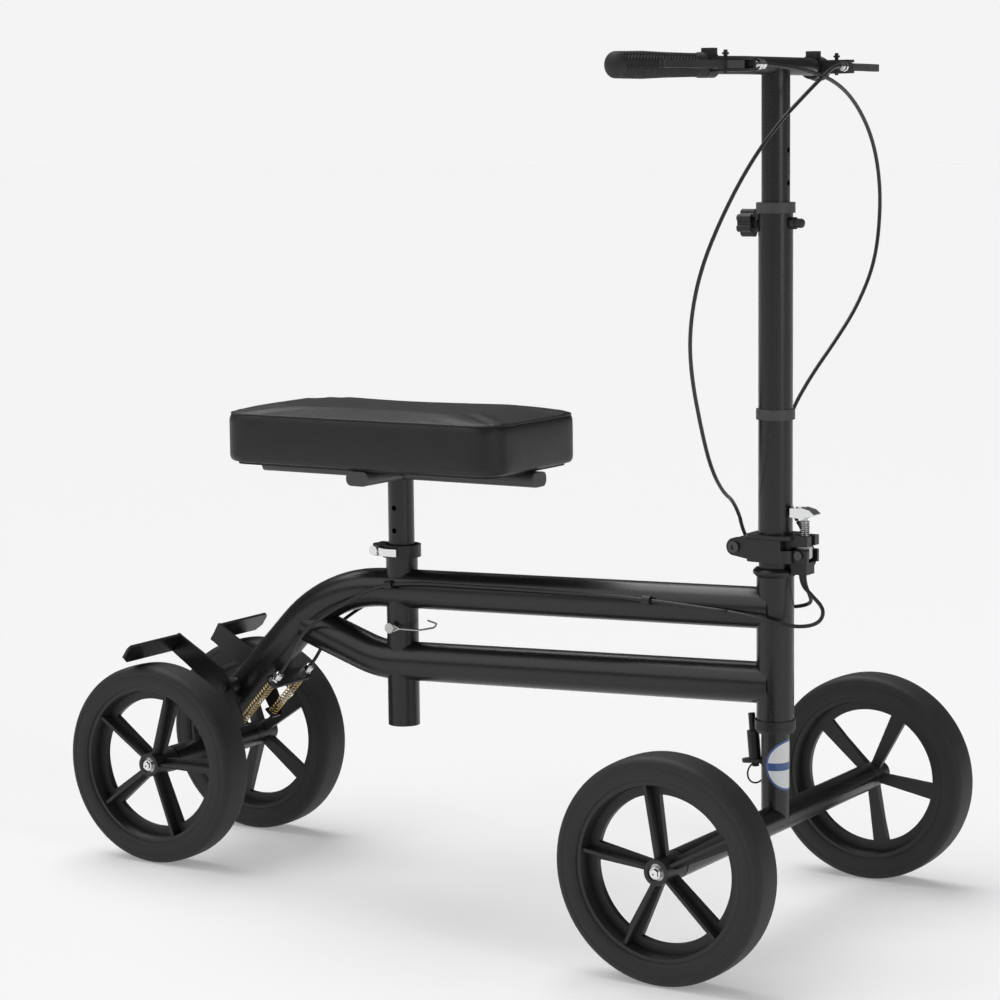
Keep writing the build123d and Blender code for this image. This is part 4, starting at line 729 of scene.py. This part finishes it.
# Points in millimetres from the steering axis, as the solids have them.
UPPER_RIGHT = [
    (25.9, -73.9, 778.5), (27.2, -62.0, 778.5), (35.0, -10.0, 774.0), (40.0, 30.0, 766.5), (38.0, 76.0, 751.0),
    (34.0, 121.0, 723.0), (30.0, 150.0, 690.0), (27.0, 163.0, 650.0), (25.0, 156.0, 600.0), (20.0, 128.0, 560.0),
    (15.0, 92.0, 530.0), (7.0, 57.0, 500.0), (-3.0, 33.0, 466.0), (-8.0, 24.0, 424.0), (-2.0, 25.5, 394.0),
    (8.0, 27.5, 371.5),
]
UPPER_LEFT = [
    (25.9, 73.9, 778.5), (27.2, 62.0, 778.5), (40.0, 8.0, 767.0), (44.0, -35.0, 751.0), (41.0, -80.0, 727.0),
    (32.0, -117.0, 692.0), (20.0, -144.0, 648.0), (8.0, -159.0, 604.0), (-2.0, -158.0, 558.0),
    (-10.0, -141.0, 517.0), (-20.0, -104.0, 466.0), (-33.0, -62.0, 427.0), (-45.0, -16.0, 399.0),
    (-52.0, 20.0, 386.0), (-51.0, 28.5, 371.5),
]
LEAD_RIGHT = [
    (8.5, 27.6, 370.5), (15.5, 29.8, 358.5), (22.0, 31.0, 347.0), (27.0, 25.0, 336.5), (30.0, 15.0, 333.6),
    (30.0, 5.0, 333.6),
]
LEAD_LEFT = [
    (-50.7, 28.8, 370.5), (-49.0, 31.0, 357.0), (-38.0, 32.0, 342.0), (-20.0, 32.5, 336.0), (2.0, 32.5, 334.5),
    (20.0, 26.0, 334.0), (24.0, 15.0, 333.6), (24.0, 5.0, 333.6),
]
LOOP_RIGHT = [
    (27.0, -3.6, 330.4), (27.0, -3.6, 319.0), (39.0, -5.0, 309.5), (53.0, -8.0, 298.0), (50.0, -12.5, 286.0),
    (33.0, -18.5, 282.0), (10.0, -24.0, 285.5), (-12.0, -24.5, 289.5), (-36.0, -23.5, 291.5),
]
LOOP_LEFT = [
    (27.0, 3.6, 330.4), (27.0, 4.4, 318.0), (29.0, 11.0, 307.0), (26.0, 21.0, 298.0), (12.0, 25.0, 293.0),
    (-10.0, 24.8, 291.0), (-36.0, 23.5, 291.5),
]
ALONG_RIGHT = [
    (-36.8, -23.5, 291.6), (-90.0, -22.6, 294.5), (-150.0, -22.0, 296.5), (-210.0, -21.8, 295.8),
    (-270.0, -21.8, 295.0), (-330.0, -21.8, 293.6), (-385.0, -22.2, 292.4), (-425.0, -22.8, 285.0),
    (-455.0, -22.8, 268.0), (-485.0, -23.5, 251.0), (-512.0, -25.5, 230.0), (-527.3, -26.0, 199.4),
    (-534.8, -26.0, 191.3),
]
ALONG_LEFT = [
    (-36.8, 23.5, 291.5), (-90.0, 22.4, 292.5), (-150.0, 22.0, 291.0), (-210.0, 21.8, 291.5),
    (-270.0, 21.8, 290.0), (-330.0, 21.8, 289.6), (-385.0, 22.2, 287.0), (-425.0, 22.8, 280.0),
    (-455.0, 22.8, 264.0), (-485.0, 23.5, 246.0), (-512.0, 25.5, 226.0), (-527.3, 26.0, 199.4),
    (-534.8, 26.0, 191.3),
]
for name, points in (("right_upper_housing", UPPER_RIGHT), ("left_upper_housing", UPPER_LEFT)):
    upper = housing_piece(name, points)
    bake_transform(upper)
    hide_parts("upper_brake_cables")
for name, points in (("right_lead_housing", LEAD_RIGHT), ("left_lead_housing", LEAD_LEFT)):
    lead = housing_piece(name, points)
    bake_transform(lead)
    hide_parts("steering_cable_loops")
for name, points in (("right_loop_housing", LOOP_RIGHT), ("left_loop_housing", LOOP_LEFT)):
    loop = housing_piece(name, points)
    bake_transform(loop)
    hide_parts("steering_cable_loops")
for name, points in (("right_frame_housing", ALONG_RIGHT), ("left_frame_housing", ALONG_LEFT)):
    fixed = housing_piece(name, points)
    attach(fixed, "frame")
    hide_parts("frame_brake_cables")


# ---- Studio ----------------------------------------------------------------------------------
# A pale seamless floor, soft light from two broad suns on the left, one behind and one in front,
# and one tall panel far to the right.

def panel(name, place, target, size, watts):
    """A square soft light at a place, turned to face the target."""
    light = bpy.data.lights.new(name, "AREA")
    light.shape = "RECTANGLE"
    light.size, light.size_y = size
    light.energy = watts
    holder = bpy.data.objects.new(name, light)
    holder.location = place
    holder.rotation_mode = "QUATERNION"
    holder.rotation_quaternion = (Vector(target) - Vector(place)).to_track_quat("-Z", "Y")
    bpy.context.scene.collection.objects.link(holder)


floor_mesh = bpy.data.meshes.new("floor")
floor_mesh.from_pydata([(-40, -40, 0), (40, -40, 0), (40, 40, 0), (-40, 40, 0)], [], [(0, 1, 2, 3)])
floor = bpy.data.objects.new("floor", floor_mesh)
bpy.context.scene.collection.objects.link(floor)
floor_look = {"Roughness": 0.9, "Base Color": (0.75, 0.75, 0.755, 1.0), "Specular IOR Level": 0.0}
floor_finish = Finish("pale_floor", floor_look)
floor_finish.shader.inputs["Emission Color"].default_value = (1.0, 1.0, 1.0, 1.0)
floor_finish.shader.inputs["Emission Strength"].default_value = 0.265
floor.data.materials.append(floor_finish.material)


def broad_sun(name, towards, strength, spread):
    """Soft light from far off, from that direction, as wide as that angle."""
    light = bpy.data.lights.new(name, "SUN")
    light.energy = strength
    light.angle = radians(spread)
    holder = bpy.data.objects.new(name, light)
    holder.rotation_mode = "QUATERNION"
    holder.rotation_quaternion = Vector(towards).to_track_quat("Z", "Y")
    bpy.context.scene.collection.objects.link(holder)


broad_sun("back_left", (-0.62, 0.25, 1.40), 2.15, 56)
broad_sun("front_left", (-0.75, -1.0, 0.9), 0.7, 50)
panel("right_strip", (3.0, -0.9, 1.4), (0.2, 0.0, 0.4), (0.8, 2.2), 14)

# The camera sees the same white all round; the things in the room see a darker one.
world = bpy.data.worlds.new("studio")
bpy.context.scene.world = world
world.use_nodes = True
sky = world.node_tree
white = sky.nodes["Background"]
white.inputs[0].default_value = (0.905, 0.905, 0.908, 1.0)
dim = sky.nodes.new("ShaderNodeBackground")
dim.inputs[0].default_value = (0.10, 0.10, 0.101, 1.0)
seen = sky.nodes.new("ShaderNodeLightPath")
either = sky.nodes.new("ShaderNodeMixShader")
sky.links.new(seen.outputs["Is Camera Ray"], either.inputs[0])
sky.links.new(dim.outputs[0], either.inputs[1])
sky.links.new(white.outputs[0], either.inputs[2])
sky.links.new(either.outputs[0], sky.nodes["World Output"].inputs[0])
bpy.context.scene.view_settings.view_transform = "Standard"

camera_data = bpy.data.cameras.new("camera")
camera_data.sensor_width = 36.0
camera_data.lens = 106.29
camera_data.clip_end = 200.0
camera = bpy.data.objects.new("camera", camera_data)
bpy.context.scene.collection.objects.link(camera)
right = Vector((0.8489, 0.5284, -0.0109))
upward = Vector((-0.0580, 0.1137, 0.9918))
backward = Vector((0.5253, -0.8413, 0.1271))
turned = Matrix((right, upward, backward)).transposed()
camera.matrix_world = Matrix.Translation((1.5054, -2.3616, 0.7325)) @ turned.to_4x4()
bpy.context.scene.camera = camera
